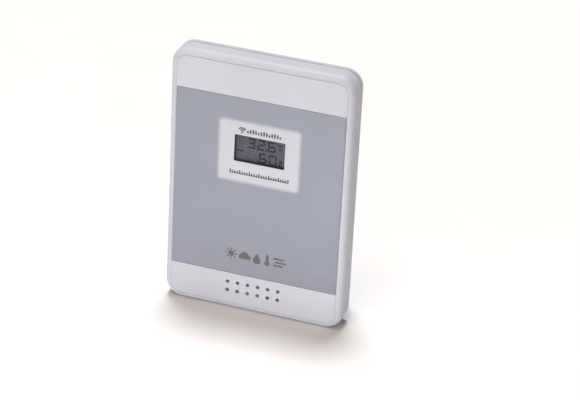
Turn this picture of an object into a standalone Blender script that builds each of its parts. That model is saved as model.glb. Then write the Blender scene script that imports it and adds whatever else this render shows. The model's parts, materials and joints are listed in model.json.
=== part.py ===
"""Wireless outdoor temperature and humidity sensor: a slim case with its boards, cells, door and stand.

The case stands on its bottom edge. X is its width, -Y its front and Z its height. Sizes are in
millimetres and are turned into metres where a mesh is made.
"""

import math

import bmesh
import bpy
from mathutils import Matrix

MM = 0.001
GAP = 0.3  # space kept between two pieces that touch
JOIN = 0.4  # how far a joined shape reaches into the wall it joins
ROOT = 0.6  # how deep a boss or post is rooted in its wall
PAST = 1.0  # how far a cutter reaches past the face it cuts
FINE_STEPS = 8  # steps around the corners of the large shapes
SMALL_STEPS = 4  # and around those of the small ones

# Driving sizes of the case
CASE_W = 65.0
CASE_H = 95.0
CASE_D = 20.0
RIM_D = 10.0  # depth of the rim, in front of the narrower hump
REAR_RIM_D = 2.6  # the rear shell's share of that depth
CORNER_R = 6.0
WALL = 1.6
FRONT_FILLET = 2.5
RIM_FILLET = 1.5
HUMP_W = 57.0
HUMP_H = 89.0
HUMP_CORNER_R = 5.0
HUMP_FILLET = 2.0
HUMP_WALL = 1.5
LIP_T = 1.2  # lip that centres the two shells
LIP_REACH = 2.2

# Planes across the depth, front to back
FRONT_Y = -CASE_D / 2
BACK_Y = CASE_D / 2
RIM_BACK_Y = FRONT_Y + RIM_D
PARTING_Y = RIM_BACK_Y - REAR_RIM_D - GAP
FRONT_INNER_Y = FRONT_Y + WALL
HUMP_INNER_Y = BACK_Y - HUMP_WALL

# Front face
GROOVE_INSET = 2.25
GROOVE_W = 0.45
GROOVE_DEPTH = 0.5
LABEL_Z = (14.1, 80.9)
LABEL_T = 0.25
LABEL_EDGE_GAP = 0.12
LABEL_HALF_W = CASE_W / 2 - GROOVE_INSET - GROOVE_W / 2
SCREEN_Z = 62.3
SCREEN_W = 17.9
SCREEN_H = 9.9
SCREEN_CORNER_R = 0.35
LENS_W = 20.6
LENS_H = 12.6
LENS_T = 0.5
SCREEN_WALL = 0.5  # front wall left around the display
VENT_ROWS = (7.1, 10.4)
VENT_COLUMNS = 6
VENT_PITCH = 3.7
VENT_R = 0.65

# Display and board
LCD_W = 26.0
LCD_H = 17.0
LCD_T = 1.6
LCD_Y = FRONT_Y + LABEL_T + GAP + LENS_T + GAP
HOLDER_WALL = 1.7
HOLDER_CORNER_R = 2.0
STRIP_W = 24.0
STRIP_H = 1.4
STRIP_GAP = 0.2  # the soft strips all but touch the glass and the board
BOARD_T = 1.0
BOARD_Y = -4.9
BOARD_BACK_Y = BOARD_Y + BOARD_T
BOARD_HALF_W = 27.5
TONGUE_HALF_W = 16.5
BOARD_Z = (4.5, 14.0, 77.5, 90.5)
PART_FRONT_Y = BOARD_Y - GAP  # where parts stand on the board's front
PART_BACK_Y = BOARD_BACK_Y + GAP  # and on its back
BLOB_Z = 36.0
BLOB_PROFILE = ((1.2, 1.7), (3.6, 1.4), (5.4, 0.8), (6.0, 0.0))  # radius, height over the board
CRYSTAL_X = 14.0
CRYSTAL_Z = 38.0
CRYSTAL_R = 1.1
CRYSTAL_L = 6.2
CAPACITOR_X = 20.5
CAPACITOR_Z = 31.0
CAPACITOR_PROFILE = ((2.5, 0.0), (2.5, 0.9), (2.2, 1.2), (2.5, 1.5), (2.5, 6.2), (2.2, 6.6))
RADIO_X = (-15.5, -4.5)
RADIO_Z = (78.6, 89.6)
RADIO_T = 0.8
RESONATOR_W = 5.0
RESONATOR_Z = (82.0, 86.0)
RESONATOR_T = 1.4
RESONATOR_CORNER_R = 1.6
ANTENNA_X = 5.5
ANTENNA_Z = 84.0
ANTENNA_TURNS = 6
ANTENNA_R = 2.1
ANTENNA_WIRE_R = 0.35
ANTENNA_PITCH = 1.15
SENSOR_HALF_W = 4.0
SENSOR_Z = (5.6, 11.9)
SENSOR_T = 2.6
SENSOR_SLITS = 4
SLIT_W = 0.8
SLIT_PITCH = 1.8
SLIT_INSET = 1.2
SLIT_DEPTH = 0.8
BEAD_X = 11.0
BEAD_Z = 6.0
BEAD_PROFILE = ((0.25, 0.0), (0.25, 1.6), (0.9, 1.9), (1.15, 2.6), (0.9, 3.3), (0.3, 3.6))

# Battery bay and its door
CELL_R = 5.25
CELL_L = 44.5
CELL_NUB_L = 1.1
CELL_NUB_R = 1.9
CELL_Y = 2.95
CELL_Z = (49.0, 60.6)
BAY_HALF_W = 25.2
BAY_Z = (43.2, 75.0)
CELL_BAY_TOP = 66.4
BAY_FLOOR_Y = -2.6
FLOOR_T = 1.0
STRIP_FLOOR_Y = 1.0  # floor of the strip with the switches
BAY_WALL = 1.5
CONTACT_T = 0.4
CONTACT_W = 8.0
SPRING_L = 2.8
SPRING_WIRE_R = 0.3
DOOR_HALF_W = 26.2
DOOR_Z = (41.2, 77.0)
DOOR_T = 1.5
DOOR_CORNER_R = 2.0
SKIRT_T = 1.0
SKIRT_DEPTH = 2.5
SKIRT_HALF_W = 20.0
NOTCH_HALF_W = 5.0
NOTCH_H = 1.6
NOTCH_DEPTH = 0.9
SEAT_WALL = 1.6  # wall around the door's seat
STRIP_STEP = 1.2  # from the cells' bay to the space under the switches
TAIL_SLOT_HALF_W = 1.6
TAIL_SLOT_T = 1.0
TAIL_HALF_W = 1.2
CONTACT_TOP_Y = 7.0
DIMPLE_R = 1.6
DIMPLE_RISE = 1.0
SPRING_TURNS = 3
SPRING_ROOT_R = 3.6
SPRING_TIP_R = 2.0
CELL_EDGE = 0.5

# Switches under the door
CONTROL_Z = 70.8
SEND_X = 16.5
UNIT_X = 7.5
CHANNEL_X = -9.5
BUTTON_R = 2.0
COLLAR_R = 2.7
SLIDER_W = 2.4
SLIDER_H = 2.2
SLIDER_TRAVEL = 2.0
SLIDER_Y = (-0.9, 3.0)
BUTTON_TOP_Y = 2.7
BUTTON_EDGE = 0.3
HOLE_CLEARANCE = 0.4
SWITCH_HALF_W = 2.4
PLUNGER_R = 1.2
PLUNGER_TOP_Y = -1.8
PLUNGER_RISE = 0.5
COLLAR_LIFT = 0.55  # collar over the plunger
COLLAR_DROP = 0.35  # collar under the floor
CHANNEL_BODY_HALF_W = 5.5
CHANNEL_BODY_HALF_H = 2.2
CHANNEL_BODY_TOP_Y = -1.2
GRIP_CUT_HALF_W = 0.15
GRIP_CUT_PITCH = 0.7
GRIP_CUT_DEPTH = 0.4

# Stand
HINGE_Z = 36.0
HINGE_Y = 7.9
BARREL_R = 1.9
STAND_HALF_W = 12.0
STAND_SIDE_GAP = 0.5
STAND_FOOT_Z = 0.9
STAND_PLATE_T = 1.9
STUB_R = 1.2
STUB_L = 2.2
HEEL_H = 1.7
RECESS_TOP_Z = 38.4
RECESS_FLOOR_Y = 5.7
RECESS_WALL = 2.1
RECESS_FLOOR_T = 1.5
STUB_CLEARANCE = 0.3
RIB_T = 1.4
RIB_INSET = 0.2
RIB_Z = (2.9, 35.5)
PANEL_W = 15.0
PANEL_Z = (8.0, 29.0)
PANEL_CORNER_R = 2.0
PANEL_DEPTH = 0.5
FINGER_R = 4.5
FINGER_DROP = 2.6  # middle of the finger notch below the foot

# Keyhole for hanging on a screw
KEYHOLE_Z = 82.4
KEYHOLE_R = 3.3
KEYHOLE_SLOT_W = 3.4
KEYHOLE_TOP_Z = 87.6
KEYHOLE_ROOM = 1.3  # beside the screw's head, inside
KEYHOLE_DEPTH = 4.9
KEYHOLE_LIP_T = 1.6
KEYHOLE_WALL = 1.4

# Screws
CASE_SCREWS = ((-21.0, 7.0), (21.0, 7.0), (-21.0, 82.5), (21.0, 82.5))
BOARD_SCREWS = ((-24.0, 18.0), (24.0, 18.0), (0.0, 85.4))
BOSS_R = 2.6
BOSS_FLOOR = 1.4  # plastic left before a boss's hole
BOSS_PROUD = 0.6  # how far a boss stands past the parting plane
STANDOFF_FLOOR = 0.2
POST_R = 3.0
SCREW_R = 1.0
SCREW_HOLE_R = 1.3
HEAD_R = 1.9
HEAD_WELL_R = 2.2
HEAD_T = 1.4
CASE_HEAD_Y = 4.7
STANDOFF_R = 2.2
STANDOFF_HOLE_R = 1.1
CASE_SHANK_L = 11.4
BOARD_SHANK_L = 3.6
BOARD_HEAD_R = 1.7
BOARD_HEAD_T = 1.1
BOARD_SCREW_R = 0.8
TIP_R = 0.2
TIP_L = 1.0
CROSS_HALF_W = 0.22
CROSS_DEPTH = 0.6
CROSS_SHARE = 0.6  # reach of the cross over the head's radius


# ---------------------------------------------------------------- materials


def material(name, colour, roughness, metallic=0.0, alpha=1.0):
    made = bpy.data.materials.new(name)
    made.use_nodes = True
    shader = made.node_tree.nodes["Principled BSDF"]
    shader.inputs["Base Color"].default_value = (*colour, 1.0)
    shader.inputs["Roughness"].default_value = roughness
    shader.inputs["Metallic"].default_value = metallic
    shader.inputs["Alpha"].default_value = alpha
    return made


WHITE_ABS = (0.72, 0.72, 0.75)
SILVER_GREY = (0.34, 0.34, 0.38)
STEEL = (0.62, 0.62, 0.60)
BOARD_GREEN = (0.05, 0.22, 0.10)
BLACK = (0.02, 0.02, 0.02)
JACKET_GREY = (0.10, 0.11, 0.13)


# ---------------------------------------------------------------- mesh tools


def add_object(name, bm, look, smooth_angle=30.0):
    """Makes an object in metres from a bmesh in millimetres."""
    bmesh.ops.recalc_face_normals(bm, faces=bm.faces)
    bmesh.ops.scale(bm, vec=(MM, MM, MM), verts=bm.verts)
    mesh = bpy.data.meshes.new(name)
    bm.to_mesh(mesh)
    bm.free()
    mesh.shade_smooth()
    mesh.set_sharp_from_angle(angle=math.radians(smooth_angle))
    made = bpy.data.objects.new(name, mesh)
    bpy.context.scene.collection.objects.link(made)
    if look is not None:
        mesh.materials.append(look)
    return made


def skin_loops(loops, closed_ring=False):
    """A closed bmesh through loops of equally many points, capped at both ends unless it is a ring."""
    bm = bmesh.new()
    rows = [[bm.verts.new(point) for point in loop] for loop in loops]
    count = len(rows[0])
    pairs = list(zip(rows, rows[1:]))
    if closed_ring:
        pairs.append((rows[-1], rows[0]))
    for lower, upper in pairs:
        for i in range(count):
            j = (i + 1) % count
            bm.faces.new((lower[i], lower[j], upper[j], upper[i]))
    if not closed_ring:
        bm.faces.new(rows[0])
        bm.faces.new(rows[-1])
    return bm


def rounded_outline(width, z0, z1, radius, y, steps=6):
    """Points of a rounded rectangle that stands in the plane at y."""
    points = []
    half = width / 2
    radius = max(radius, 0.01)
    corners = (
        (half - radius, z0 + radius, -90.0),
        (half - radius, z1 - radius, 0.0),
        (-half + radius, z1 - radius, 90.0),
        (-half + radius, z0 + radius, 180.0),
    )
    for x, z, start in corners:
        for i in range(steps + 1):
            angle = math.radians(start + 90.0 * i / steps)
            points.append((x + radius * math.cos(angle), y, z + radius * math.sin(angle)))
    return points


def slab(width, z0, z1, radius, y0, y1, front_fillet=0.0, back_fillet=0.0, steps=6, fillet_steps=4):
    """A rounded plate across the depth, with its front and back edges rounded."""
    loops = []
    if front_fillet:
        for i in range(fillet_steps):
            angle = math.pi / 2 * i / fillet_steps
            inset = front_fillet * (1 - math.sin(angle))
            y = y0 + front_fillet * (1 - math.cos(angle))
            loops.append(rounded_outline(width - 2 * inset, z0 + inset, z1 - inset, radius - inset, y, steps))
    loops.append(rounded_outline(width, z0, z1, radius, y0 + front_fillet, steps))
    loops.append(rounded_outline(width, z0, z1, radius, y1 - back_fillet, steps))
    if back_fillet:
        for i in range(1, fillet_steps + 1):
            angle = math.pi / 2 * i / fillet_steps
            inset = back_fillet * (1 - math.cos(angle))
            y = y1 - back_fillet * (1 - math.sin(angle))
            loops.append(rounded_outline(width - 2 * inset, z0 + inset, z1 - inset, radius - inset, y, steps))
    return skin_loops(loops)


def ring(width, z0, z1, radius, thickness, y0, y1, steps=6):
    """A rounded rectangular ring, thickness wide inward from the outline given."""
    inner = (width - 2 * thickness, z0 + thickness, z1 - thickness, radius - thickness)
    loops = [
        rounded_outline(width, z0, z1, radius, y0, steps),
        rounded_outline(width, z0, z1, radius, y1, steps),
        rounded_outline(*inner, y1, steps),
        rounded_outline(*inner, y0, steps),
    ]
    return skin_loops(loops, closed_ring=True)


def block(x0, x1, y0, y1, z0, z1):
    corners = ((x0, z0), (x1, z0), (x1, z1), (x0, z1))
    return skin_loops([[(x, y, z) for x, z in corners] for y in (y0, y1)])


def prism(outline, y0, y1):
    """A plate across the depth from an outline of (x, z) points."""
    return skin_loops([[(x, y, z) for x, z in outline] for y in (y0, y1)])


def turned(profile, axis, place, sides=20):
    """A solid turned about an axis, from (radius, distance along the axis) points with open ends capped."""
    loops = []
    for radius, along in profile:
        loop = []
        for i in range(sides):
            angle = 2 * math.pi * i / sides
            loop.append((radius * math.cos(angle), radius * math.sin(angle), along))
        loops.append(loop)
    bm = skin_loops(loops)
    turns = {
        "x": Matrix.Rotation(math.radians(90), 4, "Y"),
        "y": Matrix.Rotation(math.radians(-90), 4, "X"),
        "z": Matrix.Identity(4),
    }
    bm.transform(Matrix.Translation(place) @ turns[axis])
    return bm


def rod(radius, axis, place, length, sides=20):
    """A cylinder from place along the axis."""
    return turned(((radius, 0.0), (radius, length)), axis, place, sides)


def combine(target, bm, operation, name):
    """Cuts bm from the target, or joins it on, with a Boolean that stays on the target."""
    tool = add_object(name, bm, None)
    tool.hide_render = True
    tool.hide_set(True)
    tool.display_type = "WIRE"
    modifier = target.modifiers.new(name, "BOOLEAN")
    modifier.operation = operation
    modifier.solver = "EXACT"
    modifier.object = tool


def cut(target, bm, name):
    combine(target, bm, "DIFFERENCE", f"{target.name}_cut_{name}")


def join(target, bm, name):
    combine(target, bm, "UNION", f"{target.name}_join_{name}")


def put_on_axis(piece, x, y, z):
    """Moves an object's origin to a point in millimetres and leaves its shape where it is."""
    piece.data.transform(Matrix.Translation((-x * MM, -y * MM, -z * MM)))
    piece.location = (x * MM, y * MM, z * MM)


def wire(name, points, radius, look, resolution=1):
    """A round wire through points, as a curve with filled ends."""
    curve = bpy.data.curves.new(name, "CURVE")
    curve.dimensions = "3D"
    curve.bevel_depth = radius * MM
    curve.bevel_resolution = resolution
    curve.use_fill_caps = True
    spline = curve.splines.new("POLY")
    spline.points.add(len(points) - 1)
    for spot, (x, y, z) in zip(spline.points, points):
        spot.co = (x * MM, y * MM, z * MM, 1.0)
    curve.materials.append(look)
    made = bpy.data.objects.new(name, curve)
    bpy.context.scene.collection.objects.link(made)
    return made


# ---------------------------------------------------------------- the case


def make_front_shell():
    look = material("front_shell_white", WHITE_ABS, 0.45)
    outer = slab(
        CASE_W, 0.0, CASE_H, CORNER_R, FRONT_Y, PARTING_Y, front_fillet=FRONT_FILLET, steps=FINE_STEPS,
    )
    shell = add_object("front_shell", outer, look)
    inner_w = CASE_W - 2 * WALL
    cavity = slab(
        inner_w, WALL, CASE_H - WALL, CORNER_R - WALL, FRONT_INNER_Y, PARTING_Y + PAST, steps=FINE_STEPS,
    )
    cut(shell, cavity, "cavity")
    root_y = FRONT_INNER_Y - ROOT
    boss_floor_y = FRONT_INNER_Y + BOSS_FLOOR
    for i, (x, z) in enumerate(CASE_SCREWS):
        boss = rod(BOSS_R, "y", (x, root_y, z), PARTING_Y + BOSS_PROUD - root_y, 16)
        join(shell, boss, f"boss_{i}")
        cut(shell, rod(SCREW_HOLE_R, "y", (x, boss_floor_y, z), CASE_D, 12), f"boss_hole_{i}")
    for i, (x, z) in enumerate(BOARD_SCREWS):
        join(shell, rod(STANDOFF_R, "y", (x, root_y, z), PART_FRONT_Y - root_y, 14), f"standoff_{i}")
        hole = rod(STANDOFF_HOLE_R, "y", (x, FRONT_INNER_Y + STANDOFF_FLOOR, z), CASE_D / 3, 10)
        cut(shell, hole, f"standoff_hole_{i}")
    inset = GROOVE_INSET - GROOVE_W / 2
    groove = ring(
        CASE_W - 2 * inset, inset, CASE_H - inset, CORNER_R - inset, GROOVE_W,
        FRONT_Y - PAST, FRONT_Y + GROOVE_DEPTH, steps=FINE_STEPS,
    )
    cut(shell, groove, "groove")
    recess_half_w = LABEL_HALF_W + GROOVE_W / 3
    recess_z = (LABEL_Z[0] - LABEL_EDGE_GAP, LABEL_Z[1] + LABEL_EDGE_GAP)
    recess_y = FRONT_Y + LABEL_T + GAP
    recess = block(-recess_half_w, recess_half_w, FRONT_Y - 1.2 * PAST, recess_y, *recess_z)
    cut(shell, recess, "label_recess")
    pocket_half_w = LCD_W / 2 + GAP
    pocket_half_h = LCD_H / 2 + GAP
    pocket = block(
        -pocket_half_w, pocket_half_w, recess_y + SCREEN_WALL, FRONT_INNER_Y + PAST,
        SCREEN_Z - pocket_half_h, SCREEN_Z + pocket_half_h,
    )
    cut(shell, pocket, "display_pocket")
    half_w = LENS_W / 2
    half_h = LENS_H / 2
    window_y = (FRONT_Y - 2 * PAST, FRONT_INNER_Y + 0.8 * PAST)
    window = block(-half_w, half_w, *window_y, SCREEN_Z - half_h, SCREEN_Z + half_h)
    cut(shell, window, "window")
    for row, z in enumerate(VENT_ROWS):
        for column in range(VENT_COLUMNS):
            x = (column - (VENT_COLUMNS - 1) / 2) * VENT_PITCH
            cut(shell, rod(VENT_R, "y", (x, FRONT_Y - PAST, z), WALL + 2 * PAST, 12), f"vent_{row}_{column}")


def make_label():
    look = material("label_silver", SILVER_GREY, 0.5, metallic=0.3)
    label = add_object(
        "face_label",
        block(-LABEL_HALF_W, LABEL_HALF_W, FRONT_Y, FRONT_Y + LABEL_T, *LABEL_Z),
        look,
    )
    hole = slab(
        SCREEN_W, SCREEN_Z - SCREEN_H / 2, SCREEN_Z + SCREEN_H / 2, SCREEN_CORNER_R,
        FRONT_Y - PAST, FRONT_Y + LABEL_T + PAST, steps=SMALL_STEPS,
    )
    cut(label, hole, "window")


def make_display():
    lens_look = material("window_clear", (0.9, 0.92, 0.95), 0.08, alpha=0.25)
    half_w = LENS_W / 2 - GAP
    half_h = LENS_H / 2 - GAP
    lens_y = FRONT_Y + LABEL_T + GAP
    lens = block(-half_w, half_w, lens_y, lens_y + LENS_T, SCREEN_Z - half_h, SCREEN_Z + half_h)
    add_object("display_window", lens, lens_look)

    lcd_look = material("lcd_grey", (0.14, 0.14, 0.18), 0.15)
    lcd_z = (SCREEN_Z - LCD_H / 2, SCREEN_Z + LCD_H / 2)
    add_object("lcd_glass", block(-LCD_W / 2, LCD_W / 2, LCD_Y, LCD_Y + LCD_T, *lcd_z), lcd_look)

    holder_look = material("holder_white", (0.8, 0.8, 0.8), 0.5)
    room = GAP + HOLDER_WALL
    holder_w = LCD_W + 2 * room
    holder = ring(
        holder_w, lcd_z[0] - room, lcd_z[1] + room, HOLDER_CORNER_R, HOLDER_WALL,
        FRONT_INNER_Y + GAP, PART_FRONT_Y, steps=SMALL_STEPS,
    )
    add_object("lcd_holder", holder, holder_look)

    strip_look = material("strip_silicone", (0.35, 0.06, 0.05), 0.6)
    strip_y = (LCD_Y + LCD_T + STRIP_GAP, BOARD_Y - STRIP_GAP)
    for side, name in ((-1, "lower"), (1, "upper")):
        z = SCREEN_Z + side * (LCD_H / 2 - STRIP_H)
        strip = block(-STRIP_W / 2, STRIP_W / 2, *strip_y, z - STRIP_H / 2, z + STRIP_H / 2)
        add_object(f"contact_strip_{name}", strip, strip_look.copy())


def make_rear_shell():
    look = material("rear_shell_white", WHITE_ABS, 0.5)
    rim_front_y = PARTING_Y + GAP
    rim = slab(
        CASE_W, 0.0, CASE_H, CORNER_R, rim_front_y, RIM_BACK_Y, back_fillet=RIM_FILLET, steps=FINE_STEPS,
    )
    shell = add_object("rear_shell", rim, look)
    hump = slab(
        HUMP_W, 0.0, HUMP_H, HUMP_CORNER_R, rim_front_y + ROOT, BACK_Y, back_fillet=HUMP_FILLET,
    )
    join(shell, hump, "hump")
    inner_w = HUMP_W - 2 * HUMP_WALL
    inner_z = (HUMP_WALL, HUMP_H - HUMP_WALL)
    cavity = slab(inner_w, *inner_z, HUMP_CORNER_R - HUMP_WALL, rim_front_y - PAST, HUMP_INNER_Y)
    cut(shell, cavity, "cavity")
    lip_inset = WALL + GAP
    lip = ring(
        CASE_W - 2 * lip_inset, lip_inset, CASE_H - lip_inset, CORNER_R - lip_inset, LIP_T,
        rim_front_y - LIP_REACH, rim_front_y + ROOT,
    )
    join(shell, lip, "lip")
    add_bay(shell)
    add_stand_recess(shell)
    add_keyhole(shell)
    for i, (x, z) in enumerate(CASE_SCREWS):
        post_y = PARTING_Y + BOSS_PROUD + 2 * GAP
        join(shell, rod(POST_R, "y", (x, post_y, z), HUMP_INNER_Y + JOIN - post_y, 16), f"post_{i}")
        cut(shell, rod(HEAD_WELL_R, "y", (x, CASE_HEAD_Y - GAP, z), CASE_D, 16), f"well_{i}")
        hole_l = CASE_HEAD_Y - post_y + 2 * PAST
        cut(shell, rod(SCREW_HOLE_R, "y", (x, post_y - PAST, z), hole_l, 12), f"hole_{i}")


def add_bay(shell):
    """Battery bay, with a raised floor that the switches stand under, and the seat of its door."""
    reach = HUMP_W / 2 - HUMP_WALL + JOIN
    bay_outer_z = (BAY_Z[0] - BAY_WALL, BAY_Z[1] + BAY_WALL)
    tub_y = BAY_FLOOR_Y - FLOOR_T
    seat_floor_y = BACK_Y - DOOR_T - GAP
    join(shell, block(-reach, reach, tub_y, seat_floor_y - 2 * JOIN, *bay_outer_z), "bay")
    seat_z = (DOOR_Z[0] - SEAT_WALL, DOOR_Z[1] + SEAT_WALL)
    join(shell, block(-reach, reach, seat_floor_y - FLOOR_T - JOIN, HUMP_INNER_Y + JOIN, *seat_z), "door_seat")
    cut(shell, block(-BAY_HALF_W, BAY_HALF_W, BAY_FLOOR_Y, BACK_Y + PAST, BAY_Z[0], CELL_BAY_TOP), "cells")
    strip = block(-BAY_HALF_W, BAY_HALF_W, STRIP_FLOOR_Y, BACK_Y + 1.2 * PAST, CELL_BAY_TOP - JOIN, BAY_Z[1])
    cut(shell, strip, "strip")
    under_z = (CELL_BAY_TOP + STRIP_STEP, BAY_Z[1] + 0.1)
    under_half_w = BAY_HALF_W - JOIN
    under = block(-under_half_w, under_half_w, tub_y - PAST, STRIP_FLOOR_Y - FLOOR_T, *under_z)
    cut(shell, under, "under_strip")
    seat = slab(
        2 * (DOOR_HALF_W + GAP), DOOR_Z[0] - GAP, DOOR_Z[1] + GAP, DOOR_CORNER_R + GAP,
        seat_floor_y, BACK_Y + 1.4 * PAST, steps=SMALL_STEPS,
    )
    cut(shell, seat, "door")
    hole_y = STRIP_FLOOR_Y - FLOOR_T - PAST / 2
    for x, name in ((SEND_X, "send"), (UNIT_X, "unit")):
        hole = rod(BUTTON_R + HOLE_CLEARANCE, "y", (x, hole_y, CONTROL_Z), FLOOR_T + PAST, 16)
        cut(shell, hole, f"{name}_hole")
    slot_half_w = SLIDER_TRAVEL + SLIDER_W / 2 + HOLE_CLEARANCE
    slot_half_h = SLIDER_H / 2 + HOLE_CLEARANCE
    slot = block(
        CHANNEL_X - slot_half_w, CHANNEL_X + slot_half_w, hole_y, STRIP_FLOOR_Y + PAST / 2,
        CONTROL_Z - slot_half_h, CONTROL_Z + slot_half_h,
    )
    cut(shell, slot, "channel_slot")
    tail_x = -BAY_HALF_W + CONTACT_T
    for z, name in zip(CELL_Z, ("lower", "upper")):
        tail_slot = block(
            tail_x - TAIL_SLOT_T / 2, tail_x + TAIL_SLOT_T / 2, tub_y - PAST / 2, BAY_FLOOR_Y + PAST / 2,
            z - TAIL_SLOT_HALF_W, z + TAIL_SLOT_HALF_W,
        )
        cut(shell, tail_slot, f"{name}_tail")


def add_stand_recess(shell):
    half_w = STAND_HALF_W + STAND_SIDE_GAP
    outer_half_w = half_w + RECESS_WALL
    outer = block(
        -outer_half_w, outer_half_w, RECESS_FLOOR_Y - RECESS_FLOOR_T, HUMP_INNER_Y + JOIN,
        ROOT, RECESS_TOP_Z + RECESS_FLOOR_T,
    )
    join(shell, outer, "stand_box")
    cut(shell, block(-half_w, half_w, RECESS_FLOOR_Y, BACK_Y + PAST, -PAST, RECESS_TOP_Z), "stand_recess")
    reach = outer_half_w + PAST
    axle = rod(STUB_R + STUB_CLEARANCE, "x", (-reach, HINGE_Y, HINGE_Z), 2 * reach, 16)
    cut(shell, axle, "stub_holes")


def add_keyhole(shell):
    half_w = KEYHOLE_R + KEYHOLE_ROOM
    floor_z = KEYHOLE_Z - KEYHOLE_R - 0.1
    pocket_y = BACK_Y - KEYHOLE_DEPTH
    outer_half_w = half_w + KEYHOLE_WALL
    top_z = HUMP_H - HUMP_WALL + JOIN
    box = block(
        -outer_half_w, outer_half_w, pocket_y - KEYHOLE_WALL, HUMP_INNER_Y + JOIN, floor_z - FLOOR_T, top_z,
    )
    join(shell, box, "keyhole_box")
    lip_y = BACK_Y - KEYHOLE_LIP_T
    pocket = block(-half_w, half_w, pocket_y, lip_y, floor_z, KEYHOLE_TOP_Z + JOIN)
    cut(shell, pocket, "keyhole_pocket")
    cut(shell, rod(KEYHOLE_R, "y", (0.0, lip_y - ROOT, KEYHOLE_Z), 4 * PAST, 20), "keyhole")
    slot_r = KEYHOLE_SLOT_W / 2
    outline = [(-slot_r, KEYHOLE_Z), (slot_r, KEYHOLE_Z)]
    for i in range(FINE_STEPS + 1):
        angle = math.pi * i / FINE_STEPS
        outline.append((slot_r * math.cos(angle), KEYHOLE_TOP_Z - slot_r + slot_r * math.sin(angle)))
    cut(shell, prism(outline, lip_y - 0.8 * PAST, BACK_Y + 2 * PAST), "keyhole_slot")


def make_door():
    look = material("door_white", WHITE_ABS, 0.5)
    plate_y = BACK_Y - DOOR_T
    plate = slab(2 * DOOR_HALF_W, *DOOR_Z, DOOR_CORNER_R, plate_y, BACK_Y, steps=SMALL_STEPS)
    door = add_object("battery_door", plate, look)
    for z, name in ((BAY_Z[0] + GAP, "lower"), (BAY_Z[1] - GAP - SKIRT_T, "upper")):
        skirt = block(-SKIRT_HALF_W, SKIRT_HALF_W, plate_y - SKIRT_DEPTH, plate_y + JOIN, z, z + SKIRT_T)
        join(door, skirt, f"skirt_{name}")
    notch_z = (DOOR_Z[1] - NOTCH_H, DOOR_Z[1] + PAST)
    nail_notch = block(-NOTCH_HALF_W, NOTCH_HALF_W, BACK_Y - NOTCH_DEPTH, BACK_Y + PAST, *notch_z)
    cut(door, nail_notch, "nail_notch")
    put_on_axis(door, 0.0, BACK_Y, sum(DOOR_Z) / 2)


def make_stand():
    look = material("stand_white", WHITE_ABS, 0.5)
    outer_y = HINGE_Y + BARREL_R
    plate = block(
        -STAND_HALF_W, STAND_HALF_W, outer_y - STAND_PLATE_T, outer_y, STAND_FOOT_Z, HINGE_Z + HEEL_H,
    )
    leg = add_object("stand_leg", plate, look)
    join(leg, rod(BARREL_R, "x", (-STAND_HALF_W, HINGE_Y, HINGE_Z), 2 * STAND_HALF_W, 24), "barrel")
    stubs = rod(STUB_R, "x", (-STAND_HALF_W - STUB_L, HINGE_Y, HINGE_Z), 2 * (STAND_HALF_W + STUB_L), 16)
    join(leg, stubs, "stubs")
    rib_y = (RECESS_FLOOR_Y + 2 * GAP, outer_y - STAND_PLATE_T / 2)
    rib_x = STAND_HALF_W - RIB_INSET
    for x0, name in ((-rib_x, "left"), (rib_x - RIB_T, "right")):
        join(leg, block(x0, x0 + RIB_T, *rib_y, *RIB_Z), f"{name}_rib")
    panel = slab(
        PANEL_W, *PANEL_Z, PANEL_CORNER_R, outer_y - PANEL_DEPTH, outer_y + PAST, steps=SMALL_STEPS,
    )
    cut(leg, panel, "sunk_panel")
    notch_y = outer_y - 2 * STAND_PLATE_T
    finger_notch = rod(FINGER_R, "y", (0.0, notch_y, STAND_FOOT_Z - FINGER_DROP), CASE_D / 3, 24)
    cut(leg, finger_notch, "finger_notch")
    put_on_axis(leg, 0.0, HINGE_Y, HINGE_Z)


# ---------------------------------------------------------------- electronics


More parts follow.
